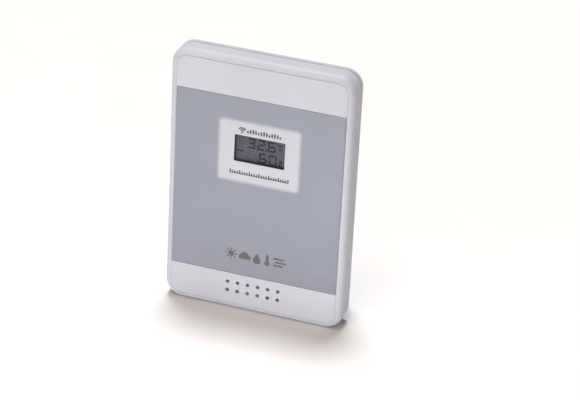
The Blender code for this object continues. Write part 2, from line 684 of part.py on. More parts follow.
def make_board():
    look = material("board_green", BOARD_GREEN, 0.4)
    low, shoulder, neck, top = BOARD_Z
    right = (
        (TONGUE_HALF_W, low), (TONGUE_HALF_W, shoulder), (BOARD_HALF_W, shoulder),
        (BOARD_HALF_W, neck), (TONGUE_HALF_W, neck), (TONGUE_HALF_W, top),
    )
    outline = list(right) + [(-x, z) for x, z in reversed(right)]
    board = add_object("main_board", prism(outline, BOARD_Y, BOARD_BACK_Y), look)
    for i, (x, z) in enumerate(BOARD_SCREWS):
        cut(board, rod(SCREW_HOLE_R, "y", (x, BOARD_Y - PAST, z), BOARD_T + 2 * PAST, 12), f"hole_{i}")

    blob = turned(BLOB_PROFILE, "y", (0.0, 0.0, 0.0), 24)
    bmesh.ops.scale(blob, vec=(1.0, -1.0, 1.0), verts=blob.verts)
    bmesh.ops.translate(blob, vec=(0.0, PART_FRONT_Y, BLOB_Z), verts=blob.verts)
    add_object("processor_blob", blob, material("blob_black", BLACK, 0.35))

    crystal = rod(CRYSTAL_R, "z", (CRYSTAL_X, PART_FRONT_Y - CRYSTAL_R, CRYSTAL_Z), CRYSTAL_L, 14)
    add_object("clock_crystal", crystal, material("crystal_steel", STEEL, 0.3, metallic=1.0))

    can = turned(CAPACITOR_PROFILE, "y", (CAPACITOR_X, PART_BACK_Y, CAPACITOR_Z), 20)
    add_object("supply_capacitor", can, material("capacitor_blue", (0.03, 0.05, 0.2), 0.4))

    radio_back_y = PART_BACK_Y + RADIO_T
    radio = block(*RADIO_X, PART_BACK_Y, radio_back_y, *RADIO_Z)
    add_object("radio_module", radio, material("radio_green", (0.03, 0.15, 0.16), 0.4))
    resonator_y = radio_back_y + GAP
    resonator = slab(
        RESONATOR_W, *RESONATOR_Z, RESONATOR_CORNER_R, resonator_y, resonator_y + RESONATOR_T,
        steps=SMALL_STEPS,
    )
    bmesh.ops.translate(resonator, vec=(sum(RADIO_X) / 2, 0.0, 0.0), verts=resonator.verts)
    add_object("radio_resonator", resonator, material("resonator_steel", STEEL, 0.3, metallic=1.0))
    make_antenna()
    make_sensors()


def make_antenna():
    per_turn = 10
    centre_y = PART_BACK_Y + ANTENNA_R + ANTENNA_WIRE_R
    points = []
    for i in range(ANTENNA_TURNS * per_turn + 1):
        angle = 2 * math.pi * i / per_turn - math.pi / 2
        x = ANTENNA_X + ANTENNA_PITCH * i / per_turn
        y = centre_y + ANTENNA_R * math.sin(angle)
        points.append((x, y, ANTENNA_Z + ANTENNA_R * math.cos(angle)))
    look = material("antenna_copper", (0.6, 0.25, 0.12), 0.3, metallic=1.0)
    wire("antenna_coil", points, ANTENNA_WIRE_R, look)


def make_sensors():
    sensor_y = PART_FRONT_Y - SENSOR_T
    humid = block(-SENSOR_HALF_W, SENSOR_HALF_W, sensor_y, PART_FRONT_Y, *SENSOR_Z)
    sensor = add_object("humidity_sensor", humid, material("humidity_white", (0.75, 0.75, 0.72), 0.5))
    slit_z = (SENSOR_Z[0] + SLIT_INSET, SENSOR_Z[1] - SLIT_INSET)
    for i in range(SENSOR_SLITS):
        x = (i - (SENSOR_SLITS - 1) / 2) * SLIT_PITCH
        slit = block(x - SLIT_W / 2, x + SLIT_W / 2, sensor_y - PAST, sensor_y + SLIT_DEPTH, *slit_z)
        cut(sensor, slit, f"slit_{i}")
    bead_r = max(radius for radius, along in BEAD_PROFILE)
    bead = turned(BEAD_PROFILE, "z", (BEAD_X, PART_FRONT_Y - bead_r, BEAD_Z), 12)
    add_object("thermistor", bead, material("thermistor_black", BLACK, 0.4))


def make_switches():
    under_y = STRIP_FLOOR_Y - FLOOR_T
    body_y = (PART_BACK_Y, PLUNGER_TOP_Y - PLUNGER_RISE)
    for x, name in ((SEND_X, "send"), (UNIT_X, "unit")):
        body = block(
            x - SWITCH_HALF_W, x + SWITCH_HALF_W, *body_y, CONTROL_Z - SWITCH_HALF_W, CONTROL_Z + SWITCH_HALF_W,
        )
        switch = add_object(f"{name}_switch", body, material(f"{name}_switch_steel", STEEL, 0.35, metallic=0.9))
        plunger = rod(PLUNGER_R, "y", (x, body_y[1] - JOIN, CONTROL_Z), PLUNGER_RISE + JOIN, 14)
        join(switch, plunger, "plunger")
        collar_top_y = under_y - COLLAR_DROP
        profile = (
            (COLLAR_R, PLUNGER_TOP_Y + COLLAR_LIFT), (COLLAR_R, collar_top_y), (BUTTON_R, collar_top_y),
            (BUTTON_R, BUTTON_TOP_Y - BUTTON_EDGE), (BUTTON_R - BUTTON_EDGE, BUTTON_TOP_Y),
        )
        look = material(f"{name}_button_grey", (0.25, 0.25, 0.27), 0.5)
        button = add_object(f"{name}_button", turned(profile, "y", (x, 0.0, CONTROL_Z), 20), look)
        put_on_axis(button, x, BUTTON_TOP_Y, CONTROL_Z)

    can = block(
        CHANNEL_X - CHANNEL_BODY_HALF_W, CHANNEL_X + CHANNEL_BODY_HALF_W, PART_BACK_Y, CHANNEL_BODY_TOP_Y,
        CONTROL_Z - CHANNEL_BODY_HALF_H, CONTROL_Z + CHANNEL_BODY_HALF_H,
    )
    add_object("channel_switch", can, material("channel_switch_steel", STEEL, 0.35, metallic=0.9))
    half_w = SLIDER_W / 2
    half_h = SLIDER_H / 2
    stem = block(
        CHANNEL_X - half_w, CHANNEL_X + half_w, *SLIDER_Y, CONTROL_Z - half_h, CONTROL_Z + half_h,
    )
    knob = add_object("channel_knob", stem, material("channel_knob_black", BLACK, 0.5))
    top_y = SLIDER_Y[1]
    for i in range(3):
        x = CHANNEL_X + GRIP_CUT_PITCH * (i - 1)
        groove = block(
            x - GRIP_CUT_HALF_W, x + GRIP_CUT_HALF_W, top_y - GRIP_CUT_DEPTH, top_y + PAST,
            CONTROL_Z - SLIDER_H, CONTROL_Z + SLIDER_H,
        )
        cut(knob, groove, f"grip_{i}")
    put_on_axis(knob, CHANNEL_X, top_y, CONTROL_Z)


# ---------------------------------------------------------------- cells and contacts


def make_cells():
    """The lower cell points its nub to +X and the upper one to -X."""
    plate_x = BAY_HALF_W - 0.2
    nub_end = plate_x - CONTACT_T - DIMPLE_RISE - GAP
    body_l = CELL_L - CELL_NUB_L
    edge_r = CELL_R - CELL_EDGE
    profile = (
        (edge_r, 0.0), (CELL_R, CELL_EDGE), (CELL_R, body_l - CELL_EDGE), (edge_r, body_l),
        (CELL_NUB_R, body_l), (CELL_NUB_R, CELL_L),
    )
    half_turn = Matrix.Rotation(math.pi, 3, "Z")
    for number, (z, side) in enumerate(zip(CELL_Z, (1, -1)), start=1):
        cell = turned(profile, "x", (nub_end - CELL_L, CELL_Y, z), 28)
        if side < 0:
            bmesh.ops.rotate(cell, cent=(0.0, CELL_Y, z), matrix=half_turn, verts=cell.verts)
        look = material(f"battery_jacket_{number}", JACKET_GREY, 0.35, metallic=0.3)
        add_object(f"battery_{number}", cell, look)
        make_spring(number, z, -side, plate_x - CONTACT_T - GAP)
    make_contacts(plate_x)


def make_spring(number, z, side, root_x):
    per_turn = 12
    count = SPRING_TURNS * per_turn
    length = SPRING_L - 2 * SPRING_WIRE_R
    points = []
    for i in range(count + 1):
        share = i / count
        radius = SPRING_ROOT_R + (SPRING_TIP_R - SPRING_ROOT_R) * share
        angle = 2 * math.pi * i / per_turn
        x = side * (root_x - SPRING_WIRE_R - length * share)
        points.append((x, CELL_Y + radius * math.cos(angle), z + radius * math.sin(angle)))
    look = material(f"spring_steel_{number}", STEEL, 0.25, metallic=1.0)
    wire(f"battery_spring_{number}", points, SPRING_WIRE_R, look)


def make_contacts(plate_x):
    """Two single contacts with tails to the board at -X, and one bridge between the cells at +X."""
    low_y = BAY_FLOOR_Y + GAP
    half_w = CONTACT_W / 2
    dimple_l = CONTACT_T / 2 + DIMPLE_RISE
    for name, z in (("minus_terminal", CELL_Z[0]), ("plus_terminal", CELL_Z[1])):
        plate = block(-plate_x, -plate_x + CONTACT_T, low_y, CONTACT_TOP_Y, z - half_w, z + half_w)
        contact = add_object(name, plate, material(f"{name}_nickel", STEEL, 0.3, metallic=1.0))
        tail = block(
            -plate_x, -plate_x + CONTACT_T, PART_BACK_Y, low_y + JOIN, z - TAIL_HALF_W, z + TAIL_HALF_W,
        )
        join(contact, tail, "tail")
        if name == "plus_terminal":
            join(contact, rod(DIMPLE_R, "x", (-plate_x + CONTACT_T / 2, CELL_Y, z), dimple_l, 16), "dimple")
    bridge_z = (CELL_Z[0] - half_w, CELL_Z[1] + half_w)
    bridge = add_object(
        "bridge_contact",
        block(plate_x - CONTACT_T, plate_x, low_y, CONTACT_TOP_Y, *bridge_z),
        material("bridge_nickel", STEEL, 0.3, metallic=1.0),
    )
    dimple_x = plate_x - CONTACT_T - DIMPLE_RISE
    join(bridge, rod(DIMPLE_R, "x", (dimple_x, CELL_Y, CELL_Z[0]), dimple_l, 16), "dimple")


# ---------------------------------------------------------------- fasteners


def make_screw(name, x, z, head_y, shank_l, head_r, head_t, shank_r):
    """A pan-head screw that points to -Y, with a cross in its head."""
    profile = (
        (TIP_R, -shank_l), (shank_r, -shank_l + TIP_L), (shank_r, 0.0), (head_r, 0.0),
        (head_r, head_t / 2), (head_r * 0.75, head_t),
    )
    screw = add_object(
        name, turned(profile, "y", (x, head_y, z), 16), material(f"{name}_steel", STEEL, 0.3, metallic=1.0)
    )
    top = head_y + head_t
    arm = head_r * CROSS_SHARE
    for half_w, half_h, depth, name in (
        (arm, CROSS_HALF_W, CROSS_DEPTH, "across"), (CROSS_HALF_W, arm, CROSS_DEPTH + 0.1, "upright"),
    ):
        slot = block(x - half_w, x + half_w, top - depth, top + depth, z - half_h, z + half_h)
        cut(screw, slot, f"cross_{name}")


def make_screws():
    for number, (x, z) in enumerate(CASE_SCREWS, start=1):
        make_screw(f"case_screw_{number}", x, z, CASE_HEAD_Y, CASE_SHANK_L, HEAD_R, HEAD_T, SCREW_R)
    for number, (x, z) in enumerate(BOARD_SCREWS, start=1):
        make_screw(
            f"board_screw_{number}", x, z, PART_BACK_Y, BOARD_SHANK_L, BOARD_HEAD_R, BOARD_HEAD_T, BOARD_SCREW_R,
        )


def main():
    for old in list(bpy.data.objects):
        bpy.data.objects.remove(old, do_unlink=True)
    make_front_shell()
    make_label()
    make_display()
    make_rear_shell()
    make_door()
    make_stand()
    make_board()
    make_switches()
    make_cells()
    make_screws()


main()
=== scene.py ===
"""Outdoor temperature and humidity sensor: the visual model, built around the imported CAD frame.

The file is laid out as an add-on, with one operator for each piece or group of like pieces. Shapes
are worked out in millimetres and become metres where a mesh is made.
"""

import json
import math

import bmesh
import bpy
from mathutils import Matrix, Vector

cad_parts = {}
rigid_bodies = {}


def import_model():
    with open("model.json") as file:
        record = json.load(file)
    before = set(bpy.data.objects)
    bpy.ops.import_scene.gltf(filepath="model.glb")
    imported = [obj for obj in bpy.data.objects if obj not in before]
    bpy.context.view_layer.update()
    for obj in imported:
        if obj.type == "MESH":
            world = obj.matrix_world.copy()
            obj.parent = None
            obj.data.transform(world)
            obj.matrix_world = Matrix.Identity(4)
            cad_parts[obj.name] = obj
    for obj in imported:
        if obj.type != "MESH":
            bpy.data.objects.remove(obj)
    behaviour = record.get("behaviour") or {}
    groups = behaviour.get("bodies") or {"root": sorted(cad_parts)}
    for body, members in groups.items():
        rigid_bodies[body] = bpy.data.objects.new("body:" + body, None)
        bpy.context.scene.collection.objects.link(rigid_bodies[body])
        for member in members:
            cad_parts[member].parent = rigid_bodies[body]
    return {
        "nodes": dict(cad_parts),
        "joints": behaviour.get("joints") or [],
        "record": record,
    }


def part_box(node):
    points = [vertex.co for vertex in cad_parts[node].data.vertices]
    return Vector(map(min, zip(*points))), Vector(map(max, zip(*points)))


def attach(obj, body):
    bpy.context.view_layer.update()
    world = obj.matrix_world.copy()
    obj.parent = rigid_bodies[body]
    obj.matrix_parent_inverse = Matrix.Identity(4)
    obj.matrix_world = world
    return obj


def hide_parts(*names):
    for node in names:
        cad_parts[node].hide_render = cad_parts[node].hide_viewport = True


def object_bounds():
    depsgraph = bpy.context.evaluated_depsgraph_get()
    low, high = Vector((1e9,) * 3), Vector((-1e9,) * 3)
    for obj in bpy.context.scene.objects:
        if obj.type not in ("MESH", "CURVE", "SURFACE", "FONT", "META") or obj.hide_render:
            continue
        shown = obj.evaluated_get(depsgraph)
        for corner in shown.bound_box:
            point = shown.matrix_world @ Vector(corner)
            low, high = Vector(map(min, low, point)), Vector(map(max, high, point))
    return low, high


bl_info = {
    "name": "Outdoor Sensor",
    "version": (1, 0, 0),
    "blender": (4, 5, 0),
    "location": "View3D > Sidebar > Sensor",
    "description": "Builds a remote temperature and humidity sensor around its CAD frame",
    "category": "Object",
}

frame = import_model()
CAD_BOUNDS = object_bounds()

MM = 0.001
CORNER_STEPS = 16
FILLET_STEPS = 8
SMOOTH_ANGLE = 32.0
EVEN = (1.0, 1.0, 1.0)  # a pattern that isn't stretched
CASE = "case"  # the body that everything fixed rides on
CLEAR = 0.3  # space between two pieces that meet
JOIN = 0.4  # how far a joined shape reaches into its wall
PAST = 1.5  # how far a cutter reaches past the surface that it opens in


class Span:
    """The box of a CAD node at rest, in millimetres, with its middle."""

    def __init__(self, node):
        low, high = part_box(node)
        self.x0, self.y0, self.z0 = (value / MM for value in low)
        self.x1, self.y1, self.z1 = (value / MM for value in high)
        self.x = (self.x0 + self.x1) / 2
        self.y = (self.y0 + self.y1) / 2
        self.z = (self.z0 + self.z1) / 2
        self.width = self.x1 - self.x0
        self.height = self.z1 - self.z0


def place_of(entries, name):
    """Where a joint or a mount is, in millimetres."""
    entry = next(entry for entry in entries if entry["name"] == name)
    return [value / MM for value in entry["pos_m"]]


FRONT = Span("front_shell")
REAR = Span("rear_shell")
LABEL = Span("face_label")
LENS = Span("display_window")
LCD = Span("lcd_glass")
BOARD = Span("main_board")
DOOR = Span("battery_door")
STAND = Span("stand_leg")
SEND = Span("send_button")
UNIT = Span("unit_button")
KNOB = Span("channel_knob")
BRIDGE = Span("bridge_contact")
CELLS = (Span("battery_1"), Span("battery_2"))
CASE_SCREWS = tuple(Span(f"case_screw_{number}") for number in range(1, 5))
BOARD_SCREWS = tuple(Span(f"board_screw_{number}") for number in range(1, 4))
HINGE_Y, HINGE_Z = place_of(frame["joints"], "stand_hinge")[1:]

# The face
FACE_Y = FRONT.y0
FILM_Y = LABEL.y0 + 0.03  # the film's face, just below the case's
PRINT_Y = FILM_Y - 0.02
SCREEN_X, SCREEN_Z = 0.3, LENS.z  # middle of the film's opening
SCREEN_HALF_W, SCREEN_HALF_H = 9.05, 4.95
MASK = {"x": 0.15, "z": 61.05, "half_width": 14.45, "half_height": 11.25, "radius": 1.5, "edge": 0.95}
SCALE_Z = 52.65  # foot of the graduated line below the display
PICTOGRAM_Z = 21.75
VENT_ROWS = (7.1, 10.4)
VENT_COLUMNS = 6

# The back, from the places of what its openings hold
BACK_Y = REAR.y1
DOOR_Y = DOOR.y1 - 1.5  # inner face of the door's plate
BAY_HALF_W = BRIDGE.x1 + 0.2
BAY_FLOOR = BRIDGE.y0 - CLEAR
BAY_Z0 = CELLS[0].z0 - 0.55
CELL_BAY_TOP = CELLS[1].z1 + 0.55
BAY_Z1 = DOOR.z1 - 2.0
STRIP_FLOOR = SEND.y1 - 1.7
RECESS_HALF_W = 12.5
RECESS_TOP = HINGE_Z + 2.4
RECESS_FLOOR = HINGE_Y - 2.2
KEYHOLE_Z = place_of(frame["record"]["mounts"], "keyhole")[2]
KEYHOLE_TOP = KEYHOLE_Z + 5.2
HUMP_CORNER = 5.0
SCREW_HEAD_T = 1.4

# Strokes lit for each sign: top, upper left, upper right, middle, lower left, lower right, bottom
SEGMENTS = {"0": "1110111", "2": "1011101", "3": "1011011", "6": "1101111", "C": "1100101"}


# ---------------------------------------------------------------- sizes and colours


def length(name, default, description):
    """A length in metres that the sidebar shows in the scene's unit."""
    return bpy.props.FloatProperty(
        name=name, description=description, default=default, min=0.0, unit="LENGTH", precision=5
    )


def colour(name, default, description):
    """A linear colour of a finish."""
    return bpy.props.FloatVectorProperty(
        name=name, description=description, default=default, size=3, min=0.0, max=1.0, subtype="COLOR"
    )


def angle(name, degrees, description):
    """An angle, given in degrees."""
    return bpy.props.FloatProperty(
        name=name, description=description, default=math.radians(degrees), subtype="ANGLE"
    )


class SENSOR_PG_sizes(bpy.types.PropertyGroup):
    """Driving sizes of the moulded parts that the frame's boxes don't give."""

    corner_radius: length("Corner", 0.006, "Radius of the case's four corners seen from the front")
    front_depth: length("Front depth", 0.0071, "From the front case's face to the parting line")
    front_fillet: length("Front edge", 0.0025, "Rounding of the front case's edge")
    wall: length("Wall", 0.0016, "Wall of the front case")
    groove_inset: length("Groove inset", 0.00225, "From the case's side to the middle of the groove")
    groove_width: length("Groove width", 0.00026, "Width of the groove around the face")
    groove_depth: length("Groove depth", 0.00022, "Depth of the groove around the face")
    vent_radius: length("Vent radius", 0.00065, "Radius of one vent hole")
    vent_pitch: length("Vent pitch", 0.0037, "From one vent hole to the next in a row")
    rim_depth: length("Rim depth", 0.0026, "Depth of the rear case's rim, behind the parting line")
    rim_fillet: length("Rim edge", 0.0015, "Rounding of the rear rim's edge")
    hump_width: length("Hump width", 0.057, "Width of the narrower back")
    hump_height: length("Hump height", 0.089, "Height of the narrower back")
    hump_wall: length("Hump wall", 0.0015, "Wall of the back")
    digit_width: length("Digit width", 0.00278, "Width of one digit on the display")
    digit_height: length("Digit height", 0.00385, "Height of one digit on the display")


class SENSOR_PG_finishes(bpy.types.PropertyGroup):
    """Colours of the finishes."""

    case: colour("Case", (0.58, 0.59, 0.655), "Moulded white plastic")
    label: colour("Label", (0.295, 0.312, 0.378), "Silver-grey film of the face")
    mask: colour("Mask", (0.565, 0.575, 0.63), "White print around the display")
    ink: colour("Ink", (0.022, 0.022, 0.03), "Dark print")
    grey_ink: colour("Grey ink", (0.098, 0.094, 0.096), "Grey print of the pictograms")
    screen: colour("Screen", (0.088, 0.085, 0.121), "Back of the liquid crystal display")
    segment: colour("Segment", (0.010, 0.010, 0.014), "Dark segments of the display")
    jacket: colour("Cell jacket", (0.02, 0.045, 0.075), "Printed jacket of the cells")
    band: colour("Cell band", (0.45, 0.47, 0.47), "Light band around the cells")
    floor: colour("Floor", (0.94, 0.93, 0.915), "Pale floor")


class SENSOR_PG_stage(bpy.types.PropertyGroup):
    """Camera."""

    azimuth: angle("Azimuth", 18.02, "Camera's turn to the right of the face")
    elevation: angle("Elevation", 27.27, "Camera's height as an angle")
    roll: angle("Roll", 3.03, "Camera's tilt to the side")
    distance: length("Distance", 0.83685, "From the camera to the face")
    lens: bpy.props.FloatProperty(
        name="Lens", description="Focal length in millimetres on a 36 mm sensor", default=153.94, min=1.0
    )
    aim_side: length("Aim side", 0.01197, "How far right of the case's middle the camera aims")
    aim_height: length("Aim height", 0.04672, "How high on the face the camera aims")


# ---------------------------------------------------------------- shapes


def curve(u, v, radius, start, stop, steps):
    """Points on an arc about (u, v), from one angle in degrees to another."""
    turns = [math.radians(start + (stop - start) * i / steps) for i in range(steps + 1)]
    return [(u + radius * math.cos(turn), v + radius * math.sin(turn)) for turn in turns]


def arc(inset, y, radius, start, stop, steps=FILLET_STEPS):
    """Profile points on a circle about (inset, y): 0 degrees is outwards and 90 is to the front."""
    return curve(inset, y, -radius, start, stop, steps)


def bend(u, v, along_u, along_v, steps=5):
    """A quarter of an ellipse about (u, v), from its end along u to its end along v."""
    return [(u + along_u * a, v + along_v * b) for a, b in curve(0.0, 0.0, 1.0, 0, 90, steps)]


def outline(width, z0, z1, radius, y, x=0.0, steps=CORNER_STEPS):
    """Points of a rounded rectangle that stands in the plane at y."""
    radius = max(radius, 0.02)
    reach = width / 2 - radius
    points = []
    for corner_x, corner_z, start in (
        (x + reach, z0 + radius, -90),
        (x + reach, z1 - radius, 0),
        (x - reach, z1 - radius, 90),
        (x - reach, z0 + radius, 180),
    ):
        points += [(u, y, v) for u, v in curve(corner_x, corner_z, radius, start, start + 90, steps)]
    return points


def sweep(width, z0, z1, radius, profile, x=0.0, keep_foot=False, steps=CORNER_STEPS):
    """Rounded rectangles along a profile of (inset, y) points; a kept foot has no inset below."""
    loops = []
    for inset, y in profile:
        foot = z0 if keep_foot else z0 + inset
        loops.append(outline(width - 2 * inset, foot, z1 - inset, radius - inset, y, x, steps))
    return loops


def skin(loops, ring=False):
    """A closed mesh through loops of equally many points, capped at both ends unless it is a ring."""
    bm = bmesh.new()
    rows = [[bm.verts.new(point) for point in loop] for loop in loops]
    pairs = list(zip(rows, rows[1:]))
    if ring:
        pairs.append((rows[-1], rows[0]))
    for lower, upper in pairs:
        for i in range(len(lower)):
            j = (i + 1) % len(lower)
            bm.faces.new((lower[i], lower[j], upper[j], upper[i]))
    if not ring:
        bm.faces.new(rows[0])
        bm.faces.new(rows[-1])
    return bm


def slab(width, z0, z1, radius, y0, y1, front=0.0, back=0.0, x=0.0, steps=CORNER_STEPS):
    """A rounded plate across the depth, with its front and back edges rounded."""
    profile = arc(front, y0 + front, front, 90, 0) if front else [(0.0, y0)]
    profile += arc(back, y1 - back, back, 0, -90) if back else [(0.0, y1)]
    return skin(sweep(width, z0, z1, radius, profile, x, steps=steps))


def block(x0, x1, y0, y1, z0, z1, edge=0.0):
    """A straight-sided block with its edges rounded a little."""
    return slab(x1 - x0, z0, z1, edge, y0, y1, edge, edge, (x0 + x1) / 2, 4)


def socket(width, z0, z1, radius, floor, surface, lip=0.2, x=0.0, fillet=0.2, steps=10):
    """A cutter that opens to the back, with a rounded floor edge and a rounded lip."""
    profile = arc(fillet, floor + fillet, fillet, 90, 0, 4)
    profile += arc(-lip, surface - lip, lip, 180, 270, 5)
    profile.append((-lip, surface + PAST))
    return skin(sweep(width, z0, z1, radius, profile, x, steps=steps))


def turned(profile, axis, place, sides=40):
    """A solid turned about an axis, from (radius, distance along the axis) points."""
    loops = []
    for radius, along in profile:
        ring = curve(0.0, 0.0, radius, 0, 360, sides)[:-1]
        loops.append([(u, v, along) for u, v in ring])
    turns = {"x": Matrix.Rotation(math.radians(90), 4, "Y"), "y": Matrix.Rotation(math.radians(-90), 4, "X")}
    bm = skin(loops)
    bm.transform(Matrix.Translation(place) @ turns[axis])
    return bm


def rod(radius, axis, place, run, sides=40):
    """A plain round rod, mostly as a cutter or inside the case."""
    return turned(((radius, 0.0), (radius, run)), axis, place, sides)


def well(radius, floor, surface, x, z, lip=0.2, sides=40):
    """A round cutter that opens to the back, with a rounded lip."""
    profile = [(radius, floor), *bend(radius + lip, surface - lip, -lip, lip), (radius + lip, surface + PAST)]
    return turned(profile, "y", (x, 0.0, z), sides)


def add_prism(bm, points, y0, y1):
    """Adds a thin plate with an outline of (x, z) points to a mesh."""
    near = [bm.verts.new((x, y0, z)) for x, z in points]
    far = [bm.verts.new((x, y1, z)) for x, z in points]
    count = len(points)
    for i in range(count):
        j = (i + 1) % count
        bm.faces.new((near[i], near[j], far[j], far[i]))
    bm.faces.new(near)
    bm.faces.new(far)


def rectangle(x0, x1, z0, z1):
    """Corner points for a flat mark."""
    return ((x0, z0), (x1, z0), (x1, z1), (x0, z1))


def link(name, data):
    """A new object in the scene."""
    made = bpy.data.objects.new(name, data)
    bpy.context.scene.collection.objects.link(made)
    return made


def as_object(name, bm):
    """Turns a mesh in millimetres into an object in metres."""
    bmesh.ops.recalc_face_normals(bm, faces=bm.faces)
    bmesh.ops.scale(bm, vec=(MM, MM, MM), verts=bm.verts)
    mesh = bpy.data.meshes.new(name)
    bm.to_mesh(mesh)
    bm.free()
    return link(name, mesh)


def evaluated_mesh(piece):
    """A new mesh of a piece as its modifiers or its curve settings leave it."""
    bpy.context.view_layer.update()
    graph = bpy.context.evaluated_depsgraph_get()
    return bpy.data.meshes.new_from_object(piece.evaluated_get(graph))


def settle(piece):
    """Makes the result of a piece's modifiers its mesh."""
    mesh = evaluated_mesh(piece)
    old = piece.data
    piece.modifiers.clear()
    piece.data = mesh
    bpy.data.meshes.remove(old)


def combine(piece, shapes, operation):
    """Joins all the shapes to a piece, or cuts them from it, in one Boolean."""
    tools = bpy.data.collections.new("tools")
    bpy.context.scene.collection.children.link(tools)
    for shape in shapes:
        tool = as_object("tool", shape)
        bpy.context.scene.collection.objects.unlink(tool)
        tools.objects.link(tool)
    modifier = piece.modifiers.new("combine", "BOOLEAN")
    modifier.operation = operation
    modifier.solver = "EXACT"
    modifier.operand_type = "COLLECTION"
    modifier.collection = tools
    settle(piece)
    for tool in list(tools.objects):
        mesh = tool.data
        bpy.data.objects.remove(tool)
        bpy.data.meshes.remove(mesh)
    bpy.data.collections.remove(tools)
    if not piece.data.polygons:
        raise RuntimeError(f"the {operation} on {piece.name} left nothing")


def cut(piece, *shapes):
    combine(piece, shapes, "DIFFERENCE")


def join(piece, *shapes):
    combine(piece, shapes, "UNION")


def dress(piece, body, slot, material, *nodes, smooth_angle=SMOOTH_ANGLE):
    """Shades a piece, gives it its material, and ties it to its body and CAD nodes; the slot argument is not
    used.
    """
    piece.data.shade_smooth()
    piece.data.set_sharp_from_angle(angle=math.radians(smooth_angle))
    if material:
        piece.data.materials.clear()
        piece.data.materials.append(material)
    normals = piece.modifiers.new("normals", "WEIGHTED_NORMAL")
    normals.keep_sharp = True
    settle(piece)
    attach(piece, body)
    if nodes:
        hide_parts(*nodes)


def restyle(name, material, edge=0.0):
    """Gives a carried-over CAD node its finish, and breaks its edges."""
    node = frame["nodes"][name]
    for spot in node.material_slots:
        spot.material = material
    if edge:
        weld = node.modifiers.new("weld", "WELD")
        weld.merge_threshold = 0.005 * MM
        bevel = node.modifiers.new("edges", "BEVEL")
        bevel.width = edge * MM
        bevel.segments = 2
        bevel.limit_method = "ANGLE"
        bevel.angle_limit = math.radians(40)
        bevel.harden_normals = True


# ---------------------------------------------------------------- finishes


class Finish:
    """A node material on the piece's own coordinates, with pattern sizes in millimetres."""

    def __init__(self, name, roughness, metallic=0.0):
        self.material = bpy.data.materials.new(name)
        self.material.use_nodes = True
        self.tree = self.material.node_tree
        self.shader = self.tree.nodes["Principled BSDF"]
        self.set("Roughness", roughness)
        self.set("Metallic", metallic)
        self.place = self.add("ShaderNodeTexCoord").outputs["Object"]
        self.normal = None

    def add(self, kind, inputs=None, **settings):
        """A new node; inputs maps a socket's name or number to a value or to another node's output."""
        node = self.tree.nodes.new(kind)
        for key, value in settings.items():
            setattr(node, key, value)
        for key, value in (inputs or {}).items():
            self.feed(node.inputs[key], value)
        return node

    def feed(self, socket, value):
        """Puts a value, or the output of a node, on a socket."""
        if isinstance(value, bpy.types.NodeSocket):
            self.tree.links.new(value, socket)
        else:
            socket.default_value = value

    def set(self, name, value):
        self.feed(self.shader.inputs[name], value)

    def noise(self, size, detail=3.0, stretch=EVEN):
        """Noise with features about size millimetres wide, longer where stretch is above 1."""
        place = self.place
        if stretch != EVEN:
            scale = tuple(1.0 / value for value in stretch)
            place = self.add("ShaderNodeMapping", {"Vector": place, "Scale": scale}).outputs[0]
        inputs = {"Vector": place, "Scale": 1.0 / (size * MM), "Detail": detail}
        return self.add("ShaderNodeTexNoise", inputs).outputs["Fac"]

    def cells(self, size, feature="F1", distance="EUCLIDEAN"):
        """Distances in a cell pattern with cells about size millimetres wide."""
        inputs = {"Vector": self.place, "Scale": 1.0 / (size * MM)}
        made = self.add("ShaderNodeTexVoronoi", inputs, feature=feature, distance=distance)
        return made.outputs["Distance"]

    def span(self, value, low, high, to_low, to_high, smooth=False):
        """A value carried from one range to another, and held at its ends."""
        made = self.add(
            "ShaderNodeMapRange",
            {"Value": value, "From Min": low, "From Max": high, "To Min": to_low, "To Max": to_high},
            interpolation_type="SMOOTHSTEP" if smooth else "LINEAR",
        )
        return made.outputs["Result"]

    def uneven(self, low, high, size, detail=3.0, stretch=EVEN):
        """Values from low to high in patches about size millimetres wide."""
        return self.span(self.noise(size, detail, stretch), 0.3, 0.7, low, high)

    def spots(self, start, stop, most, size, detail=3.0, stretch=EVEN):
        """0 with soft spots up to most, where the noise passes from start to stop."""
        return self.span(self.noise(size, detail, stretch), start, stop, 0.0, most, True)

    def math(self, operation, a, b):
        return self.add("ShaderNodeMath", {0: a, 1: b}, operation=operation).outputs[0]

    def vector(self, operation, a, b=(0.0, 0.0, 0.0), output="Vector"):
        return self.add("ShaderNodeVectorMath", {0: a, 1: b}, operation=operation).outputs[output]

    def mix(self, share, a, b):
        """A colour between a and b."""
        a, b = (value if isinstance(value, bpy.types.NodeSocket) else (*value, 1.0) for value in (a, b))
        return self.add("ShaderNodeMix", {0: share, 6: a, 7: b}, data_type="RGBA").outputs[2]

    def axis(self, name):
        """One coordinate, in metres."""
        return self.add("ShaderNodeSeparateXYZ", {0: self.place}).outputs[name]

    def rounded_box(self, x, z, half_width, half_height, radius, edge):
        """1 inside an upright rounded rectangle and 0 outside, over a soft edge; in millimetres."""
        inner = ((half_width - radius) * MM, 1.0, (half_height - radius) * MM)
        moved = self.vector("SUBTRACT", self.place, (x * MM, 0.0, z * MM))
        corner = self.vector("SUBTRACT", self.vector("ABSOLUTE", moved), inner)
        away = self.vector("LENGTH", self.vector("MAXIMUM", corner), output="Value")
        return self.span(away, (radius - edge) * MM, (radius + edge) * MM, 1.0, 0.0, True)

    def edge_of(self, share):
        """Highest where a soft edge is halfway, 0 on both sides of it."""
        rising = self.math("MULTIPLY", share, 4.0)
        return self.math("MULTIPLY", rising, self.math("SUBTRACT", 1.0, share))

    def bump(self, height, depth):
        """Raises the surface by a pattern, depth millimetres from its lowest to its highest."""
        inputs = {"Height": height, "Distance": depth * MM, "Strength": 1.0}
        if self.normal is not None:
            inputs["Normal"] = self.normal
        self.normal = self.add("ShaderNodeBump", inputs).outputs["Normal"]
        self.set("Normal", self.normal)


